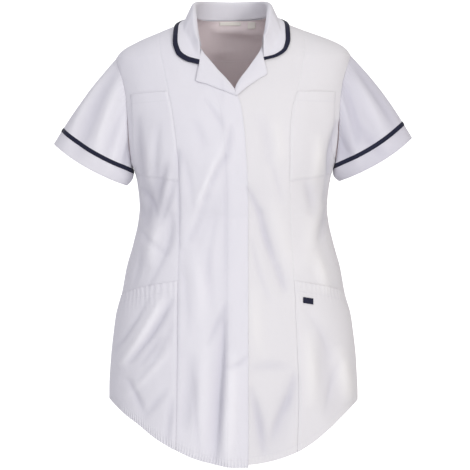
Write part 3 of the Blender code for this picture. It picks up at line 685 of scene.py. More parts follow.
def panel(hand, inner, outer, inner_height, outer_height, fractions):
    """Points of one front panel between two edges, rows from shoulder to hem."""
    side = SIDES[hand]
    hem = through(HEM, SIDE_COLUMNS[hand])
    low_turn = mix(turn(inner(HEM_LINE), HEM_LINE), turn(outer(HEM_LINE), HEM_LINE), fractions)
    hem_heights = hem(np.maximum(across_at(low_turn, half_width(HEM_LINE)), 0))
    grid = np.zeros((len(ROWS), len(fractions), 3))
    pocket_line = mix(inner_height(POCKET_TOP_ROW), outer_height(POCKET_TOP_ROW), fractions)
    hip = mix(inner_height(HIP_ROW), outer_height(HIP_ROW), fractions)
    for i, row in enumerate(ROWS):
        if row <= HIP_ROW:
            low, high = inner_height(row), outer_height(row)
            heights = mix(low, high, fractions)
        else:
            share = (row - HIP_ROW) / (HEM_ROW - HIP_ROW)
            heights = mix(hip, hem_heights, share)
            low, high = heights[0], heights[-1]
        ends = inner(low), outer(high)
        straight = mix(ends[0], ends[1], fractions)
        if row < POCKET_TOP_ROW:
            drop = []
            for edge, height, foot in zip(ends, (low, high), pocket_line[[0, -1]]):
                ridge = shoulder_height(edge)
                drop.append((ridge - height) / (ridge - foot))
            share = mix(drop[0], drop[1], fractions)
            across = straight
            heights = mix(shoulder_height(across), pocket_line, share)
        else:
            bend = np.clip((row - POCKET_TOP_ROW) / (ARMPIT_ROW - POCKET_TOP_ROW), 0, 1)
            angle = mix(turn(ends[0], low), turn(ends[1], high), fractions)
            width = mix(half_width(low), half_width(high), fractions)
            across = mix(straight, across_at(angle, width), bend)
        across = np.clip(across, -half_width(heights), half_width(heights))
        depth = depth_at(across, heights, "front")
        if row == 0:
            depth = np.zeros(len(fractions))
        if row >= ARMPIT_ROW and outer is side_width:
            across[-1] = half_width(heights[-1])
            depth[-1] = 0.0
        grid[i] = np.stack((side * across, depth, heights), axis=-1)
    return grid


def back_top(across):
    """Height of the back's top edge: neck seam in the middle, shoulder line beyond it."""
    from_middle = across - NECK_MIDDLE
    corner = NECK_MIDDLE + np.sign(from_middle) * NECK_HALF_WIDTH
    share = np.clip(np.abs(from_middle) / NECK_HALF_WIDTH, 0, 1)
    neck = mix(BACK_NECK, shoulder_height(np.abs(corner)), share**2)
    return np.where(share < 1, neck, shoulder_height(np.abs(across)))


def back_half(hand):
    """Points of one half of the back and yoke, from the middle out to the armhole."""
    side = SIDES[hand]
    width = side_width(SHOULDER_POINT)
    corner = np.abs(NECK_MIDDLE + side * NECK_HALF_WIDTH) / width
    neck = corner * np.sin(np.linspace(0, np.pi / 2, NECK_COLUMNS))
    shoulder = mix(corner, 1, spread(width * (1 - corner), ACROSS_STEP))[1:]
    fractions = np.concatenate((neck, shoulder))
    down = ROWS / YOKE_ROW
    middle = line_heights(ROWS, 4, BACK_NECK, 1)
    armpit_height = line_heights(np.array(float(ARMPIT_ROW)), 4, BACK_NECK, 1)
    upper = mix(BACK_NECK, YOKE_SEAM, np.clip(down, 0, 1) ** YOKE_BUNCHING)
    share = np.clip((ROWS - YOKE_ROW) / (ARMPIT_ROW - YOKE_ROW), 0, 1)
    middle = np.where(ROWS <= ARMPIT_ROW, mix(upper, armpit_height, share), middle)
    outer = side_heights(ROWS)
    hem = through(HEM, SIDE_COLUMNS[hand])
    low_turn = turn(half_width(HEM_LINE), HEM_LINE) * fractions
    hem_heights = hem(across_at(low_turn, half_width(HEM_LINE)))
    hip, armpit = (
        mix(middle[row_index(line)], outer[row_index(line)], fractions**2)
        for line in (HIP_ROW, ARMPIT_ROW)
    )
    grid = np.zeros((len(ROWS), len(fractions), 3))
    for i, row in enumerate(ROWS):
        if row <= HIP_ROW:
            low, high = middle[i], outer[i]
            heights = mix(low, high, fractions**2)
        else:
            share = (row - HIP_ROW) / (HEM_ROW - HIP_ROW)
            heights = mix(hip, hem_heights, share)
            high = heights[-1]
        edge = side_width(high)
        angle = turn(edge, high)
        bent = edge * (np.sin(angle * fractions) / np.sin(angle)) ** (2 / SQUARENESS)
        across = mix(edge * fractions, bent, min(row / ARMPIT_ROW, 1))
        if row < ARMPIT_ROW:
            top_ends = back_top(0.0), shoulder_height(edge)
            first = (top_ends[0] - low) / (top_ends[0] - armpit[0])
            last = (top_ends[1] - high) / (top_ends[1] - armpit[-1])
            heights = mix(back_top(side * across), armpit, mix(first, last, fractions**2))
        across = np.minimum(across, half_width(heights))
        depth = depth_at(across, heights, "back")
        if row == 0:
            depth = np.where(fractions < corner - TINY, depth, 0.0)
        if row >= ARMPIT_ROW:
            depth[-1] = 0.0
        grid[i] = np.stack((side * across, depth, heights), axis=-1)
    return grid


def creased(grid):
    """A panel with its creases: points, outward directions, and the share of painted shade at each
    point, from less than 0 (painted light) on a ridge to 1 at the bottom of a deep crease."""
    height, painted_crease_shade = crease_field(grid)
    points = grid + body_normal(grid) * height[..., None]
    normals = facing(sheet_normals(points), body_normal(points))
    return points, normals, np.clip(painted_crease_shade / PAINTED_SHADE_DEPTH, *PAINTED_SHADE_RANGE)


# A grid's top, bottom, first and last column, each with the line of points next to it
EDGE_LINES = (
    (np.s_[0], np.s_[1]),
    (np.s_[-1], np.s_[-2]),
    (np.s_[:, 0], np.s_[:, 1]),
    (np.s_[:, -1], np.s_[:, -2]),
)


def trimmed(grid, gaps):
    """The grid with its edges moved in by half a seam gap: top, bottom, first, last."""
    moved = grid.copy()
    for gap, (edge, beside) in zip(gaps, EDGE_LINES):
        if gap:
            moved[edge] += unit(grid[beside] - grid[edge]) * (SEAM_GAP / 2)
    return moved


def edge_ways(grid, closed=False):
    """Distances along the cloth to its first column, top, last column and bottom."""
    across = np.linalg.norm(np.diff(grid, axis=1), axis=-1)
    down = np.linalg.norm(np.diff(grid, axis=0), axis=-1)
    from_start = np.pad(np.cumsum(across, axis=1), ((0, 0), (1, 0)))
    from_top = np.pad(np.cumsum(down, axis=0), ((1, 0), (0, 0)))
    if closed:
        from_start[:] = np.mean(from_start, axis=0)
    return from_start, from_top, from_start[:, -1:] - from_start, from_top[-1:] - from_top


def sheet_normals(grid, closed=False):
    """Directions straight out of the cloth; the order of rows and columns gives the side."""
    if closed:
        along = np.roll(grid, -1, axis=1) - np.roll(grid, 1, axis=1)
    else:
        along = np.gradient(grid, axis=1)
    down = np.gradient(grid, axis=0)
    return unit(np.cross(along, down))


def facing(normals, wanted):
    """The normals, turned over if they mostly face away from the wanted directions."""
    return normals * np.sign(np.sum(normals * wanted))


def dipped(grid, normals, seams):
    """The grid with the edges that are seams sunk a little: top, bottom, first, last."""
    from_start, from_top, from_end, from_foot = edge_ways(grid)
    sink = np.zeros(grid.shape[:2])
    for is_seam, way in zip(seams, (from_top, from_foot, from_start, from_end)):
        if is_seam:
            sink = np.maximum(sink, np.exp(-((way / SEAM_BREADTH) ** 2)))
    return grid - normals * (SEAM_DIP * sink)[..., None]


def raised(points):
    """The points with the left shoulder lifted, and the sleeve that hangs from it."""
    share = step(points[..., 0], RISE_START, RISE_END) * step(points[..., 2], RISE_FOOT, RISE_TOP)
    return points + LEFT_SHOULDER_RISE * share[..., None] * np.array((0, 0, 1))


def show(name, data):
    """A mesh, light or camera put into the scene."""
    shown = bpy.data.objects.new(name, data)
    bpy.context.scene.collection.objects.link(shown)
    return shown


def shell(name, outer, normals, wall, materials, closed=False, painted_shade_and_tone=None):
    """A thin closed shell: the outer grid, the inner one, and a rounded rim between them.
    The last argument is how deep each point lies in a crease, kept as the share of painted
    crease shade in the cloth's colour."""
    rows, columns = outer.shape[:2]
    wall = np.broadcast_to(wall, (rows, columns))[..., None]
    inner = outer - normals * wall
    places = [outer.reshape(-1, 3), inner.reshape(-1, 3)]
    ways = edge_ways(outer, closed)
    start_map = np.stack((ways[0], ways[1]), axis=-1).reshape(-1, 2)
    end_map = np.stack((ways[2], ways[3]), axis=-1).reshape(-1, 2)
    index = np.arange(rows * columns).reshape(rows, columns)
    wrapped = np.concatenate((index, index[:, :1]), axis=1) if closed else index
    a, b = wrapped[:-1, :-1].ravel(), wrapped[:-1, 1:].ravel()
    c, d = wrapped[1:, 1:].ravel(), wrapped[1:, :-1].ravel()
    top = np.stack((a, b, c, d), axis=-1)
    count = rows * columns
    faces = [top, top[:, ::-1] + count]
    loops = [index[0], index[-1]] if closed else [
        np.concatenate((index[0, :-1], index[:-1, -1], index[-1, :0:-1], index[:0:-1, 0]))
    ]
    middle = (outer - normals * wall / 2).reshape(-1, 3)
    inward = np.zeros_like(outer)
    for edge, beside in EDGE_LINES[: 2 if closed else 4]:
        inward[edge] += unit(outer[beside] - outer[edge])
    inward = inward.reshape(-1, 3)
    base = 2 * count
    rim_maps = []
    for number, loop in enumerate(loops):
        rim = base + np.arange(len(loop))
        places.append(middle[loop] - inward[loop] * wall.reshape(-1, 1)[loop] * RIM_ROUNDING)
        rim_maps.append(loop)
        following = np.roll(loop, -1)
        next_rim = np.roll(rim, -1)
        flip = -1 if closed and number == 1 else 1
        for one in (
            np.stack((loop, rim, next_rim, following), axis=-1),
            np.stack((rim, loop + count, following + count, next_rim), axis=-1),
        ):
            faces.append(one[:, ::flip])
        base += len(loop)
    owner = np.concatenate([np.arange(count), np.arange(count)] + rim_maps)
    points = raised(np.concatenate(places))
    quads = np.concatenate(faces)
    corner, beside, below = points[top[:, 0]], points[top[:, 1]], points[top[:, 3]]
    upright = np.cross(beside - corner, below - corner)
    if np.sum(upright * normals.reshape(-1, 3)[top[:, 0]]) < 0:
        quads = quads[:, ::-1]
    mesh = bpy.data.meshes.new(name)
    mesh.from_pydata(points.tolist(), [], quads.tolist())
    corners = owner[quads.ravel()]
    for map_name, values in (("from_start", start_map), ("from_end", end_map)):
        layer = mesh.uv_layers.new(name=map_name)
        layer.data.foreach_set("uv", values[corners].astype(np.float32).ravel())
    if painted_shade_and_tone is not None:
        layer = mesh.attributes.new("painted_shade_and_tone", "FLOAT", "POINT")
        values = np.zeros(len(points), np.float32)
        values[: len(painted_shade_and_tone.ravel())] = painted_shade_and_tone.ravel()
        layer.data.foreach_set("value", values)
    mesh.shade_smooth()
    for material in materials:
        mesh.materials.append(material)
    inside = np.zeros(len(quads), np.int32)
    inside[len(top) : 2 * len(top)] = len(materials) - 1
    mesh.polygons.foreach_set("material_index", inside)
    return show(name, mesh)


# Materials


class Finish:
    """One material's node tree, with short calls for the nodes that these cloths need."""

    def __init__(self, name):
        self.material = bpy.data.materials.new(name)
        self.material.use_nodes = True
        self.tree = self.material.node_tree
        self.shader = self.tree.nodes["Principled BSDF"]

    def fill(self, socket, value):
        if isinstance(value, bpy.types.NodeSocket):
            self.tree.links.new(value, socket)
        else:
            socket.default_value = value

    def calc(self, operation, *values):
        node = self.tree.nodes.new("ShaderNodeMath")
        node.operation = operation
        for socket, value in zip(node.inputs, values):
            self.fill(socket, value)
        return node.outputs[0]

    def total(self, values):
        result = values[0]
        for value in values[1:]:
            result = self.calc("ADD", result, value)
        return result

    def ways(self):
        """Distances along the cloth from its first column, top, last column and bottom."""
        found = []
        for map_name in ("from_start", "from_end"):
            uv = self.tree.nodes.new("ShaderNodeUVMap")
            uv.uv_map = map_name
            split = self.tree.nodes.new("ShaderNodeSeparateXYZ")
            self.tree.links.new(uv.outputs[0], split.inputs[0])
            found += [split.outputs[0], split.outputs[1]]
        return found

    def line(self, way, at, breadth):
        """1 on a line at a distance from an edge, fading to 0 away from it."""
        away = self.calc("DIVIDE", self.calc("SUBTRACT", way, at), breadth)
        return self.calc("EXPONENT", self.calc("MULTIPLY", self.calc("MULTIPLY", away, away), -1.0))

    def wave(self, way, pitch, shift=0.0):
        """A sine along a distance."""
        angle = self.calc("MULTIPLY", self.calc("ADD", way, shift), 2 * np.pi / pitch)
        return self.calc("SINE", angle)

    def noise(self, scale, detail, stretch=(1.0, 1.0, 1.0)):
        """Soft noise from the object's own coordinates, about 0 to 1."""
        coordinates = self.tree.nodes.new("ShaderNodeTexCoord")
        placing = self.tree.nodes.new("ShaderNodeMapping")
        placing.inputs["Scale"].default_value = stretch
        texture = self.tree.nodes.new("ShaderNodeTexNoise")
        texture.inputs["Scale"].default_value = scale
        texture.inputs["Detail"].default_value = detail
        self.tree.links.new(coordinates.outputs["Object"], placing.inputs["Vector"])
        self.tree.links.new(placing.outputs["Vector"], texture.inputs["Vector"])
        return texture.outputs["Fac"]

    def raise_by(self, height):
        """Bump the surface by a height in metres."""
        bump = self.tree.nodes.new("ShaderNodeBump")
        bump.inputs["Strength"].default_value = 1.0
        bump.inputs["Distance"].default_value = 1.0
        self.tree.links.new(height, bump.inputs["Height"])
        self.tree.links.new(bump.outputs["Normal"], self.shader.inputs["Normal"])

    def colour(self, share, plain, varied):
        """Blend two colours by a share and give the result to the shader."""
        blend = self.tree.nodes.new("ShaderNodeMix")
        blend.data_type = "RGBA"
        self.fill(blend.inputs[0], share)
        blend.inputs[6].default_value = plain
        blend.inputs[7].default_value = varied
        self.tree.links.new(blend.outputs[2], self.shader.inputs["Base Color"])

    def feel(self, settings):
        """How rough, soft and glossy the surface is."""
        for name, value in settings.items():
            self.shader.inputs[name].default_value = value


# The cloth's white, and a darker lavender copy that random blotches and the painted shade of
# creases, sewn lines and ripples blend towards
WHITE_LIT = (0.795, 0.786, 0.832, 1.0)
WHITE_BLOTCH_AND_PAINTED_SHADE = (0.555, 0.545, 0.618, 1.0)
# The left pieces get a warmer painted cast than the right, standing in for the warm light on the
# tunic's left
CLOTH_TONES_WITH_PAINTED_CAST = {"right": WHITE_LIT, "left": (0.795, 0.782, 0.790, 1.0)}
NAVY_PLAIN = (0.005, 0.006, 0.024, 1.0)
NAVY_LIGHTER = (0.012, 0.015, 0.044, 1.0)
CREAM_PLAIN = (0.76, 0.73, 0.68, 1.0)
CREAM_LIGHTER = (0.84, 0.82, 0.78, 1.0)
POLYCOTTON_FEEL = {
    "Roughness": 0.82,
    "Sheen Weight": 0.12,
    "Sheen Roughness": 0.5,
    "Specular IOR Level": 0.25,
}
TRIM_FEEL = {"Roughness": 0.7, "Sheen Weight": 0.04, "Specular IOR Level": 0.3}
THREAD_FEEL = {"Roughness": 0.55, "Sheen Weight": 0.2}

THREAD_PITCH = 0.45 * MM
WEAVE_HEIGHT = 0.03 * MM
CRUMPLE = (26.0, 4.0, (1.0, 1.0, 0.4))
CRUMPLE_HEIGHT = 1.1 * MM
BLOTCHES = (6.0, 2.0)
BLOTCH_TONE = 0.10
STITCH_BREADTH = 0.7 * MM
STITCH_DEPTH = 0.12 * MM
# Painted shade along the sewn lines, where the stitches sink into the cloth
STITCH_PAINTED_SHADE = 0.12
PUCKER_WANDER = 2.0
# Painted shade in the ripple troughs and painted light on their crests, stronger for steeper
# ripples
PUCKER_PAINTED_SHADE = 2.0
# Strength of the painted shade in crease bottoms, read from the mesh
CREASE_PAINTED_SHADE = 0.52
# Even share of painted shade over all the white cloth, so that ridges and ripple crests can be
# painted lighter
PAINTED_SHADE_BASE = 0.22


def white_polycotton(name, lines=(), puckers=(), plain=WHITE_LIT, shaded=WHITE_BLOTCH_AND_PAINTED_SHADE,
                     creased_cloth=False):
    """Plain-weave white polycotton. lines are (edge, distance) of sewn lines, puckers
    (edge, other edge, reach, height, pitch) of the ripples that hang on a seam or hem."""
    finish = Finish(name)
    ways = finish.ways()
    weave = finish.calc(
        "MULTIPLY", finish.wave(ways[0], THREAD_PITCH), finish.wave(ways[1], THREAD_PITCH)
    )
    heights = [finish.calc("MULTIPLY", weave, WEAVE_HEIGHT)]
    crumple = finish.noise(*CRUMPLE)
    heights.append(finish.calc("MULTIPLY", crumple, CRUMPLE_HEIGHT))
    # Random blotches of tone, to which the painted light and shade of creases, sewn lines and
    # ripples are added
    painted_shade_and_tone = [finish.calc("MULTIPLY", finish.noise(*BLOTCHES), BLOTCH_TONE)]
    # Painted shade in the crease bottoms and painted light on ridges, from the share kept on the
    # mesh
    if creased_cloth:
        deep = finish.tree.nodes.new("ShaderNodeAttribute")
        deep.attribute_name = "painted_shade_and_tone"
        painted_shade_and_tone.append(finish.calc("MULTIPLY", deep.outputs["Fac"], CREASE_PAINTED_SHADE))
    # Even share of painted shade over the whole cloth
    painted_shade_and_tone.append(PAINTED_SHADE_BASE)
    # Sewn lines: a shallow groove, darkened with painted shade
    for edge, at in lines:
        sewn = finish.line(ways[edge], at, STITCH_BREADTH)
        heights.append(finish.calc("MULTIPLY", sewn, -STITCH_DEPTH))
        painted_shade_and_tone.append(finish.calc("MULTIPLY", sewn, STITCH_PAINTED_SHADE))
    # Ripples by seams and hems: bumps, with painted shade in their troughs and painted light on
    # their crests
    for edge, run, reach, height, pitch in puckers:
        near = finish.line(ways[edge], 0.0, reach)
        uneven = finish.calc("MULTIPLY", crumple, PUCKER_WANDER * pitch)
        ripple = finish.wave(finish.calc("ADD", ways[run], uneven), pitch)
        rippled = finish.calc("MULTIPLY", ripple, near)
        heights.append(finish.calc("MULTIPLY", rippled, height))
        painted_shade_and_tone.append(finish.calc("MULTIPLY", rippled, -PUCKER_PAINTED_SHADE * height / pitch))
    finish.raise_by(finish.total(heights))
    finish.colour(finish.calc("MINIMUM", finish.total(painted_shade_and_tone), 1.0), plain, shaded)
    finish.feel(POLYCOTTON_FEEL)
    return finish.material


# Narrow trims: plain colour, lighter colour for the rib crests and the fuzz, pitch and height of
# the ribs
NAVY_BINDING = (NAVY_PLAIN, NAVY_LIGHTER, 1.2 * MM, 0.06 * MM)
NAVY_TAG = (NAVY_PLAIN, NAVY_LIGHTER, 0.6 * MM, 0.04 * MM)
CREAM_LABEL = (CREAM_PLAIN, CREAM_LIGHTER, 0.5 * MM, 0.02 * MM)
RIB_FLATNESS = 0.6
RIB_TONE = 0.25
FUZZ = (45.0, 2.0)
FUZZ_HEIGHT = 0.2 * MM
FUZZ_TONE = 0.6


def woven_trim(name, plain, lighter, pitch, height):
    """Narrow ribbed trim or label cloth, with its ribs across."""
    finish = Finish(name)
    ways = finish.ways()
    ribs = finish.calc(
        "MULTIPLY", finish.wave(ways[0], pitch), finish.wave(ways[1], pitch * RIB_FLATNESS)
    )
    fuzz = finish.noise(*FUZZ)
    heights = [
        finish.calc("MULTIPLY", ribs, height),
        finish.calc("MULTIPLY", fuzz, FUZZ_HEIGHT),
    ]
    finish.raise_by(finish.total(heights))
    # The rib crests and the fuzz take the lighter colour
    tones = [
        finish.calc("MULTIPLY", ribs, RIB_TONE),
        finish.calc("MULTIPLY", fuzz, FUZZ_TONE),
    ]
    finish.colour(finish.total(tones), plain, lighter)
    finish.feel(TRIM_FEEL)
    return finish.material


# The edges of a grid, as the finishes and the stitching number them
START, TOP, END, FOOT = 0, 1, 2, 3
# A brighter white on the inside of the stand: painted light against the shade it sits in
STAND_PAINTED_LIGHT = (0.93, 0.925, 0.96, 1.0)
# The wrong side is painted a pinkish mauve for the shaded hollow inside the tunic and the light
# through the thin cloth: painted light and shade, with a darker copy for its blotches and painted
# shade
WRONG_SIDE_PAINTED_CAST = (0.83, 0.74, 0.755, 1.0)
WRONG_SIDE_BLOTCH_AND_PAINTED_SHADE = (0.66, 0.57, 0.59, 1.0)
wrong_side = white_polycotton("wrong side of the cloth", plain=WRONG_SIDE_PAINTED_CAST, shaded=WRONG_SIDE_BLOTCH_AND_PAINTED_SHADE)
HEM_SEWN = 13.0 * MM
# Reach, height and pitch of the ripples in the hem, by side
HEM_PUCKERS = {
    "right": (13 * MM, 0.42 * MM, 5.4 * MM),
    "left": (10 * MM, 0.12 * MM, 6.5 * MM),
    "back": (11 * MM, 0.28 * MM, 5.5 * MM),
}
MOUTH_PUCKERS = {"right": (32 * MM, 0.32 * MM, 11.0 * MM), "left": (22 * MM, 0.16 * MM, 9.0 * MM)}
SEAM_PUCKER = (6 * MM, 0.05 * MM, 9.0 * MM)
SLEEVE_PUCKER = (9 * MM, 0.20 * MM, 7.0 * MM)
CUFF_PUCKER = (4 * MM, 0.15 * MM, 5.0 * MM)
COLLAR_PUCKER = (6 * MM, 0.10 * MM, 6.0 * MM)
EDGE_SEWN = 1.8 * MM
POCKET_BAND = 17.0 * MM
ARMHOLE_SEWN = 4.0 * MM
FLY_SEWN = 37.0 * MM
COLLAR_SEWN = 3.2 * MM
YOKE_SEWN = (2.5 * MM, 1.0 * MM)
# How much lower the hip pocket's mouth runs at the side, in rows
MOUTH_SLANT = {"right": 4.8, "left": 1.4}

STITCH_LENGTH = 2.2 * MM
STITCH_PITCH = 3.1 * MM
THREAD_BREADTH = 0.55 * MM
THREAD_HEIGHT = 0.36 * MM
# Smallest and largest share of its full length, breadth and height that a stitch takes
LEAST_STITCH = (0.88, 0.9, 0.9)
MOST_STITCH = (1.06, 1.1, 1.1)
STITCH_SEED = 7
THREAD_LIT = (0.80, 0.79, 0.83, 1.0)
THREAD_SUNK = (0.66, 0.65, 0.70, 1.0)
TWIST = (900.0, 2.0, (1.0, 0.4, 1.0))
TWIST_HEIGHT = 0.08 * MM
# The sewn bar that closes the foot of the fly, across and height
FLY_BAR = ((-3, -598), (-1, -606), (4, -608), (12, -602), (22, -594), (25, -588))
FLY_BAR_POINTS = 40
FLY_LIFT = LAYER + 0.1 * MM


def thread_finish():
    """White sewing thread, twisted, a little glossier than the cloth."""
    finish = Finish("white thread")
    twist = finish.noise(*TWIST)
    finish.raise_by(finish.calc("MULTIPLY", twist, TWIST_HEIGHT))
    finish.colour(twist, THREAD_LIT, THREAD_SUNK)
    finish.feel(THREAD_FEEL)
    return finish.material


def stitch_tree():
    """Node tree that lays one stitch on each point, along its run, and its sockets' names."""
    tree = bpy.data.node_groups.new("run of stitches", "GeometryNodeTree")
    sockets = {}
    for name, kind in (("Points", "Geometry"), ("Length", "Float"), ("Breadth", "Float"),
                       ("Height", "Float"), ("Seed", "Int"), ("Thread", "Material")):
        socket = tree.interface.new_socket(name, in_out="INPUT", socket_type="NodeSocket" + kind)
        sockets[name] = socket.identifier
    tree.interface.new_socket("Stitches", in_out="OUTPUT", socket_type="NodeSocketGeometry")
    given = tree.nodes.new("NodeGroupInput").outputs
    bead = tree.nodes.new("GeometryNodeMeshUVSphere")
    bead.inputs["Segments"].default_value = 6
    bead.inputs["Rings"].default_value = 4
    bead.inputs["Radius"].default_value = 0.5
    size = tree.nodes.new("ShaderNodeCombineXYZ")
    shape = tree.nodes.new("GeometryNodeTransform")
    ways = {}
    for name in ("outward", "along"):
        ways[name] = tree.nodes.new("GeometryNodeInputNamedAttribute")
        ways[name].data_type = "FLOAT_VECTOR"
        ways[name].inputs["Name"].default_value = name
    upright = tree.nodes.new("FunctionNodeAlignRotationToVector")
    upright.axis = "Z"
    turned = tree.nodes.new("FunctionNodeAlignRotationToVector")
    turned.axis = "X"
    turned.pivot_axis = "Z"
    uneven = tree.nodes.new("FunctionNodeRandomValue")
    uneven.data_type = "FLOAT_VECTOR"
    uneven.inputs[0].default_value = LEAST_STITCH
    uneven.inputs[1].default_value = MOST_STITCH
    place = tree.nodes.new("GeometryNodeInstanceOnPoints")
    real = tree.nodes.new("GeometryNodeRealizeInstances")
    soft = tree.nodes.new("GeometryNodeSetShadeSmooth")
    paint = tree.nodes.new("GeometryNodeSetMaterial")
    result = tree.nodes.new("NodeGroupOutput")
    for source, target in (
        (given["Length"], size.inputs[0]),
        (given["Breadth"], size.inputs[1]),
        (given["Height"], size.inputs[2]),
        (bead.outputs["Mesh"], shape.inputs["Geometry"]),
        (size.outputs[0], shape.inputs["Scale"]),
        (ways["outward"].outputs[0], upright.inputs["Vector"]),
        (upright.outputs[0], turned.inputs["Rotation"]),
        (ways["along"].outputs[0], turned.inputs["Vector"]),
        (given["Seed"], uneven.inputs["Seed"]),
        (given["Points"], place.inputs["Points"]),
        (shape.outputs[0], place.inputs["Instance"]),
        (turned.outputs[0], place.inputs["Rotation"]),
        (uneven.outputs[0], place.inputs["Scale"]),
        (place.outputs[0], real.inputs[0]),
        (real.outputs[0], soft.inputs["Geometry"]),
        (soft.outputs[0], paint.inputs["Geometry"]),
        (given["Thread"], paint.inputs["Material"]),
        (paint.outputs[0], result.inputs[0]),
    ):
        tree.links.new(source, target)
    return tree, sockets


thread = thread_finish()
STITCHES, STITCH_SOCKETS = stitch_tree()


def sewn_run(outer, normals, edge, at, closed=False):
    """Points and outward directions on the line at a distance from one edge of a grid."""
    way = edge_ways(outer, closed)[edge]
    if edge in (START, END):
        way, outer, normals = way.T, outer.transpose(1, 0, 2), normals.transpose(1, 0, 2)
    if edge in (END, FOOT):
        way, outer, normals = way[::-1], outer[::-1], normals[::-1]
    near = np.sum(way < at, axis=0)
    found = np.flatnonzero((near > 0) & (near < len(way)))
    far = near[found]
    share = ((at - way[far - 1, found]) / (way[far, found] - way[far - 1, found]))[:, None]
    points = mix(outer[far - 1, found], outer[far, found], share)
    outward = mix(normals[far - 1, found], normals[far, found], share)
    if closed:
        points = np.concatenate((points, points[:1]))
        outward = np.concatenate((outward, outward[:1]))
    return points, outward


def spaced(points, outward):
    """Stitch places along a run: middle, direction of the run, and outward direction."""
    points = raised(points)
    length = np.pad(np.cumsum(np.linalg.norm(np.diff(points, axis=0), axis=-1)), (1, 0))
    at = np.arange(STITCH_PITCH, length[-1] - STITCH_PITCH / 2, STITCH_PITCH)

    def read(values, place):
        return np.stack([np.interp(place, length, values[:, i]) for i in range(3)], axis=-1)

    places = read(points, at)
    ahead = read(points, at + STITCH_PITCH / 2)
    return places, unit(ahead - places), unit(read(outward, at))


def sew(node, runs):
    """All stitches of one piece, as one plain mesh."""
    parts = [spaced(points, outward) for points, outward in runs]
    places, along, outward = (np.concatenate(part) for part in zip(*parts))
    mesh = bpy.data.meshes.new(node + "_stitches")
    mesh.from_pydata(places.tolist(), [], [])
    for name, values in (("along", along), ("outward", outward)):
        layer = mesh.attributes.new(name, "FLOAT_VECTOR", "POINT")
        layer.data.foreach_set("vector", values.astype(np.float32).ravel())
    piece = show(node + "_stitches", mesh)
    modifier = piece.modifiers.new("stitches", "NODES")
    modifier.node_group = STITCHES
    for name, value in (("Length", STITCH_LENGTH), ("Breadth", THREAD_BREADTH),
                        ("Height", THREAD_HEIGHT), ("Seed", STITCH_SEED), ("Thread", thread)):
        modifier[STITCH_SOCKETS[name]] = value
    settled = piece.evaluated_get(bpy.context.evaluated_depsgraph_get())
    made = bpy.data.meshes.new_from_object(settled)
    piece.modifiers.clear()
    piece.data = made
    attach(piece, "root")
    return piece


def cloth_piece(node, outer, normals, material, seams=(0, 0, 0, 0), wall=CLOTH_WALL,
                closed=False, slot="white_cloth", sewn=(), inner=None, bars=(), painted_shade_and_tone=None):
    """One cut piece on its node's form, with its stitches. sewn gives the (edge, distance) of
    its sewn lines, and bars more runs of stitches."""
    if any(seams):
        outer = dipped(outer, normals, seams)
    materials = (material, inner or wrong_side) if slot == "white_cloth" else (material,)
    piece = shell(node + "_cloth", outer, normals, wall, materials, closed, painted_shade_and_tone)
    runs = [sewn_run(outer, normals, edge, at, closed) for edge, at in sewn] + list(bars)
    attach(piece, "root")
    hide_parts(node)
    stitches = [sew(node, runs)] if runs else []


def fly_lift(across):
    """How far the right front stands over the left where it laps it."""
    return FLY_LIFT * step(across, FLY_STEP_START, FLY_STEP_END)


def fly_bar():
    """The bar of stitches across the foot of the fly."""
    table = np.array(FLY_BAR) * MM
    at = np.linspace(0, len(table) - 1, FLY_BAR_POINTS)
    across = np.interp(at, np.arange(len(table)), table[:, 0])
    height = np.interp(at, np.arange(len(table)), table[:, 1])
    base = np.stack((across, depth_at(across, height, "front"), height), axis=-1)
    outward = body_normal(base)
    return base + outward * (crease_height(base) + fly_lift(across))[:, None], outward


def sleeve_ring(hand, angles):
    """The armhole's points at angles from the shoulder down the front and up behind."""
    side = SIDES[hand]
    height = armhole_height(angles)
    across = np.minimum(armhole_width(height), half_width(height))
    front = angles < np.pi
    depth = np.where(front, depth_at(across, height, "front"), depth_at(across, height, "back"))
    at_end = np.abs(np.sin(angles)) < TINY
    return np.stack((side * across, np.where(at_end, 0.0, depth), height), axis=-1)


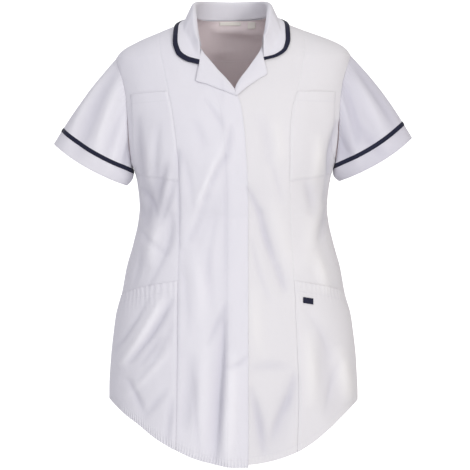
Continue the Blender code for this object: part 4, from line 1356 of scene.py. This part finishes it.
def sleeve_points(hand, angles, shares):
    """Points of the sleeve, one row for each share of the way from armhole to hem."""
    side = SIDES[hand]
    ring = sleeve_ring(hand, angles)
    outer_x, outer_z, inner_x, inner_z = (value * MM for value in SLEEVE_HEMS[hand])
    high = np.array((side * outer_x, 0, outer_z))
    low = np.array((side * inner_x, 0, inner_z))
    radial = (
        np.cos(angles)[:, None] * (high - low) / 2
        + np.sin(angles)[:, None] * np.array((0, -SLEEVE_HALF_DEPTH, 0))
    )
    across_hem = unit(high - low)
    outward = side * np.array((across_hem[2], 0, -across_hem[0]))
    hem = (high + low) / 2 + radial + SLEEVE_HEM_BOW * np.sin(angles)[:, None] ** 2 * outward
    degrees = np.degrees(angles)
    from_top = (1 + np.cos(angles)) / 2
    puff = SLEEVE_PUFF * (from_top + FRONT_PUFF_SHARE * np.abs(np.sin(angles)))
    puff = puff + UNDERARM_PUFF * np.exp(-(((degrees - 180.0) / UNDERARM_BREADTH) ** 2))
    for at, breadth, depth in SLEEVE_FOLDS:
        away = (degrees - at) / breadth
        puff = puff + depth * MM * np.exp(-away * away)
    rows = []
    painted_shade_and_tone = []
    for share in shares:
        swell = np.sin(np.pi * share) * puff
        painted_crease_shade = np.zeros_like(puff)
        for first_turn, first, last_turn, last, breadth, depth in SLEEVE_CREASES[hand]:
            along = np.clip((share - first) / (last - first), 0, 1)
            away = (degrees - mix(first_turn, last_turn, along)) / breadth
            height = depth * MM * np.exp(-away * away) * np.sin(np.pi * along)
            swell = swell + height
            painted_crease_shade = painted_crease_shade - height
        rows.append(mix(ring, hem, share[:, None]) + swell[:, None] * unit(radial))
        # Painted crease shade, plus the painted shade over the whole sleeve
        painted_shade_and_tone.append(np.clip(painted_crease_shade / PAINTED_SHADE_DEPTH + SLEEVE_PAINTED_SHADE[hand], *SLEEVE_PAINTED_SHADE_RANGE))
    return np.array(rows), np.array(painted_shade_and_tone), unit(radial), np.linalg.norm(hem - ring, axis=-1)


def rounding(rows, height):
    """Heights of a soft half-round over a number of rows."""
    return np.sin(np.linspace(0, np.pi, rows + 1)) ** 0.5 * height


def make_sleeve(hand):
    """Sleeve, piping and cuff of one side."""
    angles = np.linspace(0, 2 * np.pi, SLEEVE_COLUMNS + 1)[:-1]
    flat = np.ones(len(angles))
    length = sleeve_points(hand, angles, [flat])[-1]
    pipe_start = 1 - (CUFF_DEPTH + PIPING_WIDTH) / length
    cuff_start = 1 - CUFF_DEPTH / length
    down = spread(1.0, 1.0 / SLEEVE_ROWS, SLEEVE_STEPS)
    shares = [pipe_start * t for t in down]
    shares += [mix(pipe_start, cuff_start, t) for t in np.linspace(0, 1, PIPING_ROWS + 1)[1:]]
    shares += [mix(cuff_start, flat, t) for t in spread(1.0, 1.0 / CUFF_ROWS, CUFF_STEPS)[1:]]
    grid, painted_shade_and_tone, radial, _ = sleeve_points(hand, angles, shares)
    normals = facing(sheet_normals(grid, closed=True), radial[None])
    pipe = len(down) - 1
    cuff = pipe + PIPING_ROWS
    parts = (
        ("sleeve", 0, pipe, [], (TOP, START) + SLEEVE_PUCKER, "side_front_" + hand + "_cloth"),
        ("sleeve_piping", pipe, cuff, [], (), "sleeve_" + hand),
        ("cuff", cuff, len(shares) - 1, [(TOP, EDGE_SEWN), (FOOT, EDGE_SEWN)],
         (FOOT, START) + CUFF_PUCKER, "sleeve_" + hand),
    )
    for stem, start, end, sewn, pucker, carrier in parts:
        rows = slice(start, end + 1)
        points = grid[rows].copy()
        if stem == "sleeve_piping":
            lift = PIPING_LIFT + rounding(PIPING_ROWS, PIPING_BULGE)
            points += normals[rows] * lift[:, None, None]
            material = woven_trim("navy binding " + hand, *NAVY_BINDING)
            wall, slot = TRIM_WALL, "navy_trim"
        else:
            material = white_polycotton(stem + " " + hand, sewn, [pucker], creased_cloth=True)
            wall, slot = CLOTH_WALL, "white_cloth"
        if stem == "sleeve":
            sink = np.exp(-((edge_ways(points)[TOP] / SEAM_BREADTH) ** 2))
            points -= normals[rows] * (SEAM_DIP * sink)[..., None]
        points = trimmed(points, (True, stem != "cuff", False, False))
        cloth_piece(stem + "_" + hand, points, normals[rows], material, wall=wall,
                    closed=True, slot=slot, sewn=sewn, painted_shade_and_tone=painted_shade_and_tone[rows])


def smooth_rows(grid, positions):
    """Points between a grid's rows on a smooth curve through them, at fractional rows."""
    last = len(grid) - 1
    out = []
    for place in positions:
        i = min(int(place), last - 1)
        t = place - i
        before, after = grid[max(i - 1, 0)], grid[min(i + 2, last)]
        a, b = grid[i], grid[i + 1]
        out.append(
            0.5 * (2 * a + (b - before) * t + (2 * before - 5 * a + 4 * b - after) * t**2
                   + (3 * a - before - 3 * b + after) * t**3)
        )
    return np.array(out)


def collar_half(stations, half, end_share):
    """Rows of one half of the collar: stand, roll, leaf and the binding at its edge, which
    narrows towards the front to a share of its width."""
    seam = np.stack((half[:, 0], np.zeros(len(half)), half[:, 1]), axis=-1)
    for i, (across, _, height) in enumerate(seam):
        face = "back" if stations[i] < COLLAR_SIDE else "front"
        seam[i, 1] = depth_at(across, height, face)
    roll = half[:, 2:5]
    edge = half[:, 5:8]
    away = unit((edge - roll) * np.array((1, 1, 0)))
    up = np.array((0, 0, 1))
    crest = roll + away * ROLL_RADIUS + up * ROLL_RISE
    shoulder = roll + away * ROLL_RADIUS * 2
    inward = unit(np.cross(np.gradient(edge, axis=0), body_normal(lay(edge, LEAF_LIFT))))
    inward = unit(inward * np.sign(np.sum(inward * (shoulder - edge), axis=-1))[:, None]
                  + 0.5 * unit(shoulder - edge))
    width = COLLAR_PIPING * mix(1.0, end_share, step(stations, *PIPING_TAPER))
    leaf_end = edge + inward * width[:, None]
    profile = np.array([seam, mix(seam, roll, 0.5), roll, crest, shoulder,
                        mix(shoulder, leaf_end, 0.5), leaf_end, edge])
    positions = np.concatenate((
        np.linspace(0, 2, STAND_ROWS + 1)[:-1],
        np.linspace(2, 4, ROLL_ROWS + 1)[:-1],
        np.linspace(4, 6, LEAF_ROWS + 1)[:-1],
        np.linspace(6, 7, COLLAR_PIPING_ROWS + 1),
    ))
    return smooth_rows(profile, positions)


def make_collar():
    """Stand, roll and leaf in one piece, and the piping round the leaf."""
    curves = [through(COLLAR, column, 1.0) for column in range(1, 9)]
    stations = np.linspace(0, 1, COLLAR_STATIONS + 1) ** COLLAR_CROWDING
    half = np.stack([curve(stations) for curve in curves], axis=-1)
    right = collar_half(stations, half, 1.0)
    right[..., 0] = NECK_MIDDLE - right[..., 0]
    left = collar_half(stations, half, LEFT_PIPING_END)
    left[..., 0] = NECK_MIDDLE + left[..., 0]
    left[..., 2] += LEFT_RISE * step(stations, COLLAR_SIDE, 1.0)
    leaf_start = STAND_ROWS + ROLL_ROWS
    join = leaf_start + LEAF_ROWS
    grid = np.concatenate((right[:, ::-1], left[:, 1:]), axis=1)
    grid[0] = lay(grid[0], SEAM_LIFT)
    grid[leaf_start:] = lay(grid[leaf_start:], LEAF_LIFT, only_out=True)
    grid[-1] = lay(grid[-1], LEAF_LIFT)
    drop = np.linspace(0, 1, COLLAR_PIPING_ROWS + 1)
    settled = lay(grid[join:], LEAF_LIFT)
    grid[join:] = mix(grid[join:], settled, drop[:, None, None])
    normals = sheet_normals(grid)
    middle = normals[-1, normals.shape[1] // 2]
    normals = normals * (1 if middle[1] > 0 else -1)
    collar = trimmed(grid[: join + 1], (False, True, False, False))
    sewn = [(FOOT, COLLAR_SEWN), (START, EDGE_SEWN), (END, EDGE_SEWN)]
    material = white_polycotton("collar cloth", sewn, [(FOOT, START) + COLLAR_PUCKER])
    # The inside of the stand takes the brighter painted light
    cloth_piece("collar", collar, normals[: join + 1], material, sewn=sewn,
                inner=white_polycotton("inside of the stand", plain=STAND_PAINTED_LIGHT))
    bulge = rounding(COLLAR_PIPING_ROWS, COLLAR_BULGE)
    piping = trimmed(grid[join:], (True, False, False, False))
    piping = piping + normals[join:] * bulge[:, None, None]
    material = woven_trim("collar binding", *NAVY_BINDING)
    cloth_piece("collar_piping", piping, normals[join:], material,
                slot="navy_trim")


def make_lapel(hand):
    """The turned-back top of one front, from the roll line out to its edge."""
    side = SIDES[hand]
    edge = through(FRONT_EDGES, SIDE_COLUMNS[hand])
    first = 2 * SIDE_COLUMNS[hand] - 1
    along = np.linspace(0, 1, LAPEL_ROWS + 1)
    roll_height = mix(LAPEL_TOPS[hand] * MM, NECK_POINT, along)
    roll_across = edge(roll_height) - LAPEL_INSET
    edge_across = through(LAPELS, first, 1.0)(along)
    edge_height = through(LAPELS, first + 1, 1.0)(along)
    shares = np.linspace(0, 1, LAPEL_COLUMNS + 1)
    across = mix(roll_across[:, None], edge_across[:, None], shares)
    height = mix(roll_height[:, None], edge_height[:, None], shares)
    depth = depth_at(across, height, "front")
    grid = np.stack((side * across, depth, height), axis=-1)
    lift = LAPEL_LIFT + LAPEL_RISE * shares + LAPEL_ROLL * np.sin(np.pi * shares)
    lift = np.tile(lift, (len(along), 1))
    if hand == "right":
        lift += fly_lift(grid[..., 0])
    else:
        lift += LEFT_LAPEL_CLIMB * step(-grid[..., 0], LEFT_CLIMB_START, LEFT_CLIMB_END)
    outer = grid + body_normal(grid) * lift[..., None]
    normals = facing(sheet_normals(outer), body_normal(grid))
    sewn = [(END, EDGE_SEWN)]
    material = white_polycotton("lapel " + hand, sewn)
    cloth_piece("lapel_" + hand, outer, normals, material,
                sewn=sewn, inner=material)


def taken(grid, rows):
    """The grid read at fractional indices of its rows, one list of indices per column."""
    low = np.clip(np.floor(rows).astype(int), 0, len(grid) - 2)
    share = (rows - low)[..., None]
    columns = np.arange(grid.shape[1])[None, :]
    return mix(grid[low, columns], grid[low + 1, columns], share)


def make_pocket(name, grid, painted_shade_and_tone, first, last, columns, material, sewn_lines, corner,
                slant):
    """A pocket: part of the panel's own points, moved out. corner is the share of its height
    that its low outer corner rounds off, and slant how many rows its mouth drops."""
    count = last - first
    share = np.linspace(0, 1, columns)
    bend = np.clip(share - CORNER_START, 0, 1) / (1 - CORNER_START)
    rise = corner * (1 - np.sqrt(np.clip(1 - bend**2, 0, 1)))
    down = spread(1.0, 1.0 / count, POCKET_STEPS)[:, None]
    start = slant * share[None, :]
    rows = first + start + down * ((1 - rise)[None, :] * count - start)
    base = taken(grid[:, :columns], rows)
    normals = facing(sheet_normals(base), body_normal(base))
    gape = MOUTH_GAPE * np.sin(np.pi * share) * np.exp(-down * count / GAPE_FADE)
    from_start, _, from_end, from_foot = edge_ways(base)
    sewn = step(np.minimum(from_start, from_end), 0.0, SEWN_REACH)
    if corner:
        sewn = np.minimum(sewn, step(from_foot, 0.0, SEWN_REACH))
    points = base + normals * (mix(SEWN_LIFT, LAYER, sewn) + gape * sewn)[..., None]
    points = trimmed(points, (False, False, True, False))
    cloth_piece(name, points, normals, material, wall=mix(SEWN_WALL, CLOTH_WALL, sewn),
                sewn=sewn_lines, painted_shade_and_tone=taken(painted_shade_and_tone[:, :columns, None], rows)[..., 0])


def make_label(name, size, face, lift, tilt, material, slot):
    """A small flat label that follows the surface it is sewn to."""
    low_x, high_x, low_z, high_z = (value * MM for value in size)
    grid = np.zeros((LABEL_ROWS, LABEL_COLUMNS, 3))
    for c, across in enumerate(np.linspace(low_x, high_x, LABEL_COLUMNS)):
        height = np.linspace(high_z, low_z, LABEL_ROWS) + tilt * c / (LABEL_COLUMNS - 1)
        depth = depth_at(across, height, face)
        grid[:, c] = np.stack((np.full(LABEL_ROWS, across), depth, height), axis=-1)
    out = body_normal(grid)
    points = grid + out * (crease_height(grid) + lift)[..., None]
    cloth_piece(name, points, out, material, wall=LABEL_WALL, slot=slot)


def make_side_front(hand, side, shares, hem_pucker):
    """One side front, and the chest and hip pockets laid on it."""
    side, normals, painted_shade_and_tone = creased(side)
    body = "side_front_" + hand
    tone = CLOTH_TONES_WITH_PAINTED_CAST[hand]
    sewn = [(FOOT, HEM_SEWN)]
    puckers = [hem_pucker, (START, TOP) + SEAM_PUCKER]
    material = white_polycotton("side front " + hand, sewn, puckers, tone, creased_cloth=True)
    cloth_piece(body, trimmed(side, (True, False, True, True)), normals, material,
                seams=(1, 0, 1, 1), sewn=sewn + [(END, ARMHOLE_SEWN)],
                painted_shade_and_tone=painted_shade_and_tone)
    columns = int(np.argmin(np.abs(shares - POCKET_SIDE))) + 1
    band = (TOP, POCKET_BAND)
    pockets = (
        ("chest", POCKET_TOP_ROW, POCKET_FOOT_ROW, [band, (FOOT, EDGE_SEWN), (END, EDGE_SEWN)],
         [(TOP, START) + SEAM_PUCKER], CHEST_POCKET_CORNER, 0.0),
        ("hip", HIP_ROW, HEM_ROW, [band, (FOOT, HEM_SEWN)],
         [(TOP, START) + MOUTH_PUCKERS[hand], hem_pucker], 0.0, MOUTH_SLANT[hand]),
    )
    for place, first, last, sewn, puckers, corner, slant in pockets:
        name = place + " pocket " + hand
        material = white_polycotton(name, sewn, puckers, tone, creased_cloth=True)
        make_pocket(name.replace(" ", "_"), side, painted_shade_and_tone, row_index(first), row_index(last), columns,
                    material, sewn, corner, slant)


def make_front(hand, front, hem_pucker):
    """One front. The right one laps over the left and carries the fly's stitching."""
    front, normals, painted_shade_and_tone = creased(front)
    sewn = [(FOOT, HEM_SEWN)]
    bars = []
    if hand == "right":
        front = front + normals * fly_lift(front[..., 0])[..., None]
        sewn += [(START, EDGE_SEWN), (START, FLY_SEWN)]
        bars = [fly_bar()]
    puckers = [hem_pucker, (END, TOP) + SEAM_PUCKER]
    tone = CLOTH_TONES_WITH_PAINTED_CAST[hand]
    material = white_polycotton("front " + hand, sewn, puckers, tone, creased_cloth=True)
    cloth_piece("front_" + hand, trimmed(front, (True, False, False, True)), normals, material,
                seams=(1, 0, 0, 1), sewn=sewn, bars=bars, painted_shade_and_tone=painted_shade_and_tone)


def make_back(back):
    """The yoke, and the back below it."""
    back, normals, painted_shade_and_tone = creased(back)
    seam = row_index(YOKE_ROW)
    sewn = [(FOOT, EDGE_SEWN)]
    material = white_polycotton("back yoke", sewn)
    # The yoke's wrong side takes the same painted mauve cast and painted shade
    inner = white_polycotton("wrong side of the yoke", [(FOOT, at) for at in YOKE_SEWN],
                             plain=WRONG_SIDE_PAINTED_CAST, shaded=WRONG_SIDE_BLOTCH_AND_PAINTED_SHADE)
    cloth_piece("back_yoke", trimmed(back[: seam + 1], (True, True, True, True)),
                normals[: seam + 1], material, seams=(1, 1, 1, 1), sewn=sewn,
                inner=inner)
    sewn = [(FOOT, HEM_SEWN)]
    puckers = [(FOOT, START) + HEM_PUCKERS["back"]]
    material = white_polycotton("back", sewn, puckers, creased_cloth=True)
    cloth_piece("back", trimmed(back[seam:], (True, False, True, True)), normals[seam:], material,
                seams=(1, 0, 1, 1), sewn=sewn, painted_shade_and_tone=painted_shade_and_tone[seam:])


def make_body():
    """Fronts, side fronts with their pockets, yoke and back."""
    backs = {}
    for hand, column in SIDE_COLUMNS.items():
        edge = through(FRONT_EDGES, column)
        princess = through(PRINCESS, column)
        front_top = float(shoulder_height(edge(FRONT_TOP)))
        princess_top = float(shoulder_height(princess(PRINCESS_TOP)))

        def middle(rows, top=front_top):
            return line_heights(rows, 1, top, FRONT_BUNCHING)

        def seam(rows, top=princess_top):
            return line_heights(rows, 2, top, PRINCESS_BUNCHING)

        shares = np.unique(np.append(spread(SIDE_FRONT_WIDTH, ACROSS_STEP), POCKET_SIDE))
        side = panel(hand, princess, side_width, seam, side_heights, shares)
        front = panel(hand, edge, princess, middle, seam, spread(FRONT_WIDTH, ACROSS_STEP))
        hem_pucker = (FOOT, START) + HEM_PUCKERS[hand]
        make_side_front(hand, side, shares, hem_pucker)
        make_front(hand, front, hem_pucker)
        backs[hand] = back_half(hand)
    make_back(np.concatenate((backs["right"][:, ::-1], backs["left"][:, 1:]), axis=1))


make_body()
for hand in SIDES:
    make_sleeve(hand)
make_collar()
for hand in SIDES:
    make_lapel(hand)
make_label("pocket_tag", POCKET_TAG, "front", TAG_LIFT, TAG_TILT,
           woven_trim("navy tag", *NAVY_TAG), "navy_tag")
for name, size in (("neck_label", NECK_LABEL), ("size_label", SIZE_LABEL)):
    make_label(name, size, "back", LABEL_LIFT, 0.0,
               woven_trim(name.replace("_", " "), *CREAM_LABEL), "cream_label")


# Studio

FLOOR_RADIUS = 4.4
FLOOR_HEIGHT = -1.4
FLOOR_CORNERS = 64
FLOOR_COLOUR = (0.86, 0.86, 0.87, 1.0)
FLOOR_SHADED = 0.97
FLOOR_NOISE = (1.5, 2.0)
FLOOR_ROUGHNESS = 0.9
KEY_PLACE = (1.9, -3.05, 0.3)
KEY_AIM = (0.0, 0.0, -0.4)
KEY_SIZE = 0.9
KEY_POWER = 40.0
KEY_COLOUR = (1.0, 0.98, 0.965)
SURROUND_STRENGTH = 1.35
CAMERA_PLACE = (0.0029, -3.5, -0.387)
CAMERA_LENS = 148.9
CAMERA_SENSOR = 36.0
# How bright the surround is below, level and above
SURROUND_HEIGHTS = ((0.0, 0.60), (0.40, 1.0), (0.60, 1.0), (1.0, 0.60))
# Tone of the surround, from the tunic's right through the middle to its left
SURROUND = (
    (0.0, (0.37, 0.36, 0.41, 1.0)),
    (0.42, (1.0, 1.0, 1.0, 1.0)),
    (0.57, (1.0, 1.0, 1.0, 1.0)),
    (1.0, (0.10, 0.075, 0.065, 1.0)),
)


def plain_paint(name, colour):
    """Matt paint with a faint unevenness."""
    finish = Finish(name)
    shaded = tuple(FLOOR_SHADED * part for part in colour[:3]) + (1.0,)
    finish.colour(finish.noise(*FLOOR_NOISE), colour, shaded)
    finish.feel({"Roughness": FLOOR_ROUGHNESS})
    return finish.material


def make_floor():
    """A wide pale floor, well under the hem."""
    mesh = bpy.data.meshes.new("floor")
    angles = np.linspace(0, 2 * np.pi, FLOOR_CORNERS, endpoint=False)
    points = [(FLOOR_RADIUS * np.cos(a), FLOOR_RADIUS * np.sin(a), FLOOR_HEIGHT) for a in angles]
    mesh.from_pydata(points, [], [list(range(FLOOR_CORNERS))])
    mesh.materials.append(plain_paint("pale floor", FLOOR_COLOUR))
    show("floor", mesh)


def make_key():
    """A square soft box on the tunic's left, turned towards the chest."""
    data = bpy.data.lights.new("key", "AREA")
    data.size = KEY_SIZE
    data.energy = KEY_POWER
    data.color = KEY_COLOUR
    light = show("key", data)
    light.location = KEY_PLACE
    away = np.array(KEY_PLACE) - np.array(KEY_AIM)
    light.rotation_euler = (
        np.arctan2(np.hypot(away[0], away[1]), away[2]),
        0.0,
        np.arctan2(away[0], -away[1]),
    )


def make_world():
    """Soft white surround, dimmer on both sides, below and above."""
    world = bpy.data.worlds.new("studio")
    world.use_nodes = True
    tree = world.node_tree
    shade = tree.nodes["Background"]
    coordinates = tree.nodes.new("ShaderNodeTexCoord")
    split = tree.nodes.new("ShaderNodeSeparateXYZ")
    tree.links.new(coordinates.outputs["Generated"], split.inputs[0])
    found = []
    heights = [(at, (tone, tone, tone, 1.0)) for at, tone in SURROUND_HEIGHTS]
    for axis, stops in ((0, SURROUND), (2, heights)):
        toward = tree.nodes.new("ShaderNodeMapRange")
        toward.inputs["From Min"].default_value = -1.0
        toward.inputs["From Max"].default_value = 1.0
        ramp = tree.nodes.new("ShaderNodeValToRGB")
        ramp.color_ramp.interpolation = "EASE"
        tones = ramp.color_ramp.elements
        tones[0].position, tones[0].color = stops[0]
        tones[1].position, tones[1].color = stops[-1]
        for place, tone in stops[1:-1]:
            tones.new(place).color = tone
        tree.links.new(split.outputs[axis], toward.inputs["Value"])
        tree.links.new(toward.outputs[0], ramp.inputs[0])
        found.append(ramp.outputs[0])
    blend = tree.nodes.new("ShaderNodeMix")
    blend.data_type = "RGBA"
    blend.blend_type = "MULTIPLY"
    blend.inputs[0].default_value = 1.0
    tree.links.new(found[0], blend.inputs[6])
    tree.links.new(found[1], blend.inputs[7])
    tree.links.new(blend.outputs[2], shade.inputs["Color"])
    shade.inputs["Strength"].default_value = SURROUND_STRENGTH
    bpy.context.scene.world = world


def make_camera():
    """The photograph's view: level, straight on, from 3.5 m."""
    data = bpy.data.cameras.new("camera")
    data.sensor_width = CAMERA_SENSOR
    data.lens = CAMERA_LENS
    camera = show("camera", data)
    camera.location = CAMERA_PLACE
    camera.rotation_euler = (np.pi / 2, 0.0, 0.0)
    bpy.context.scene.camera = camera


make_floor()
make_key()
make_world()
make_camera()
bpy.context.scene.view_settings.view_transform = "Standard"
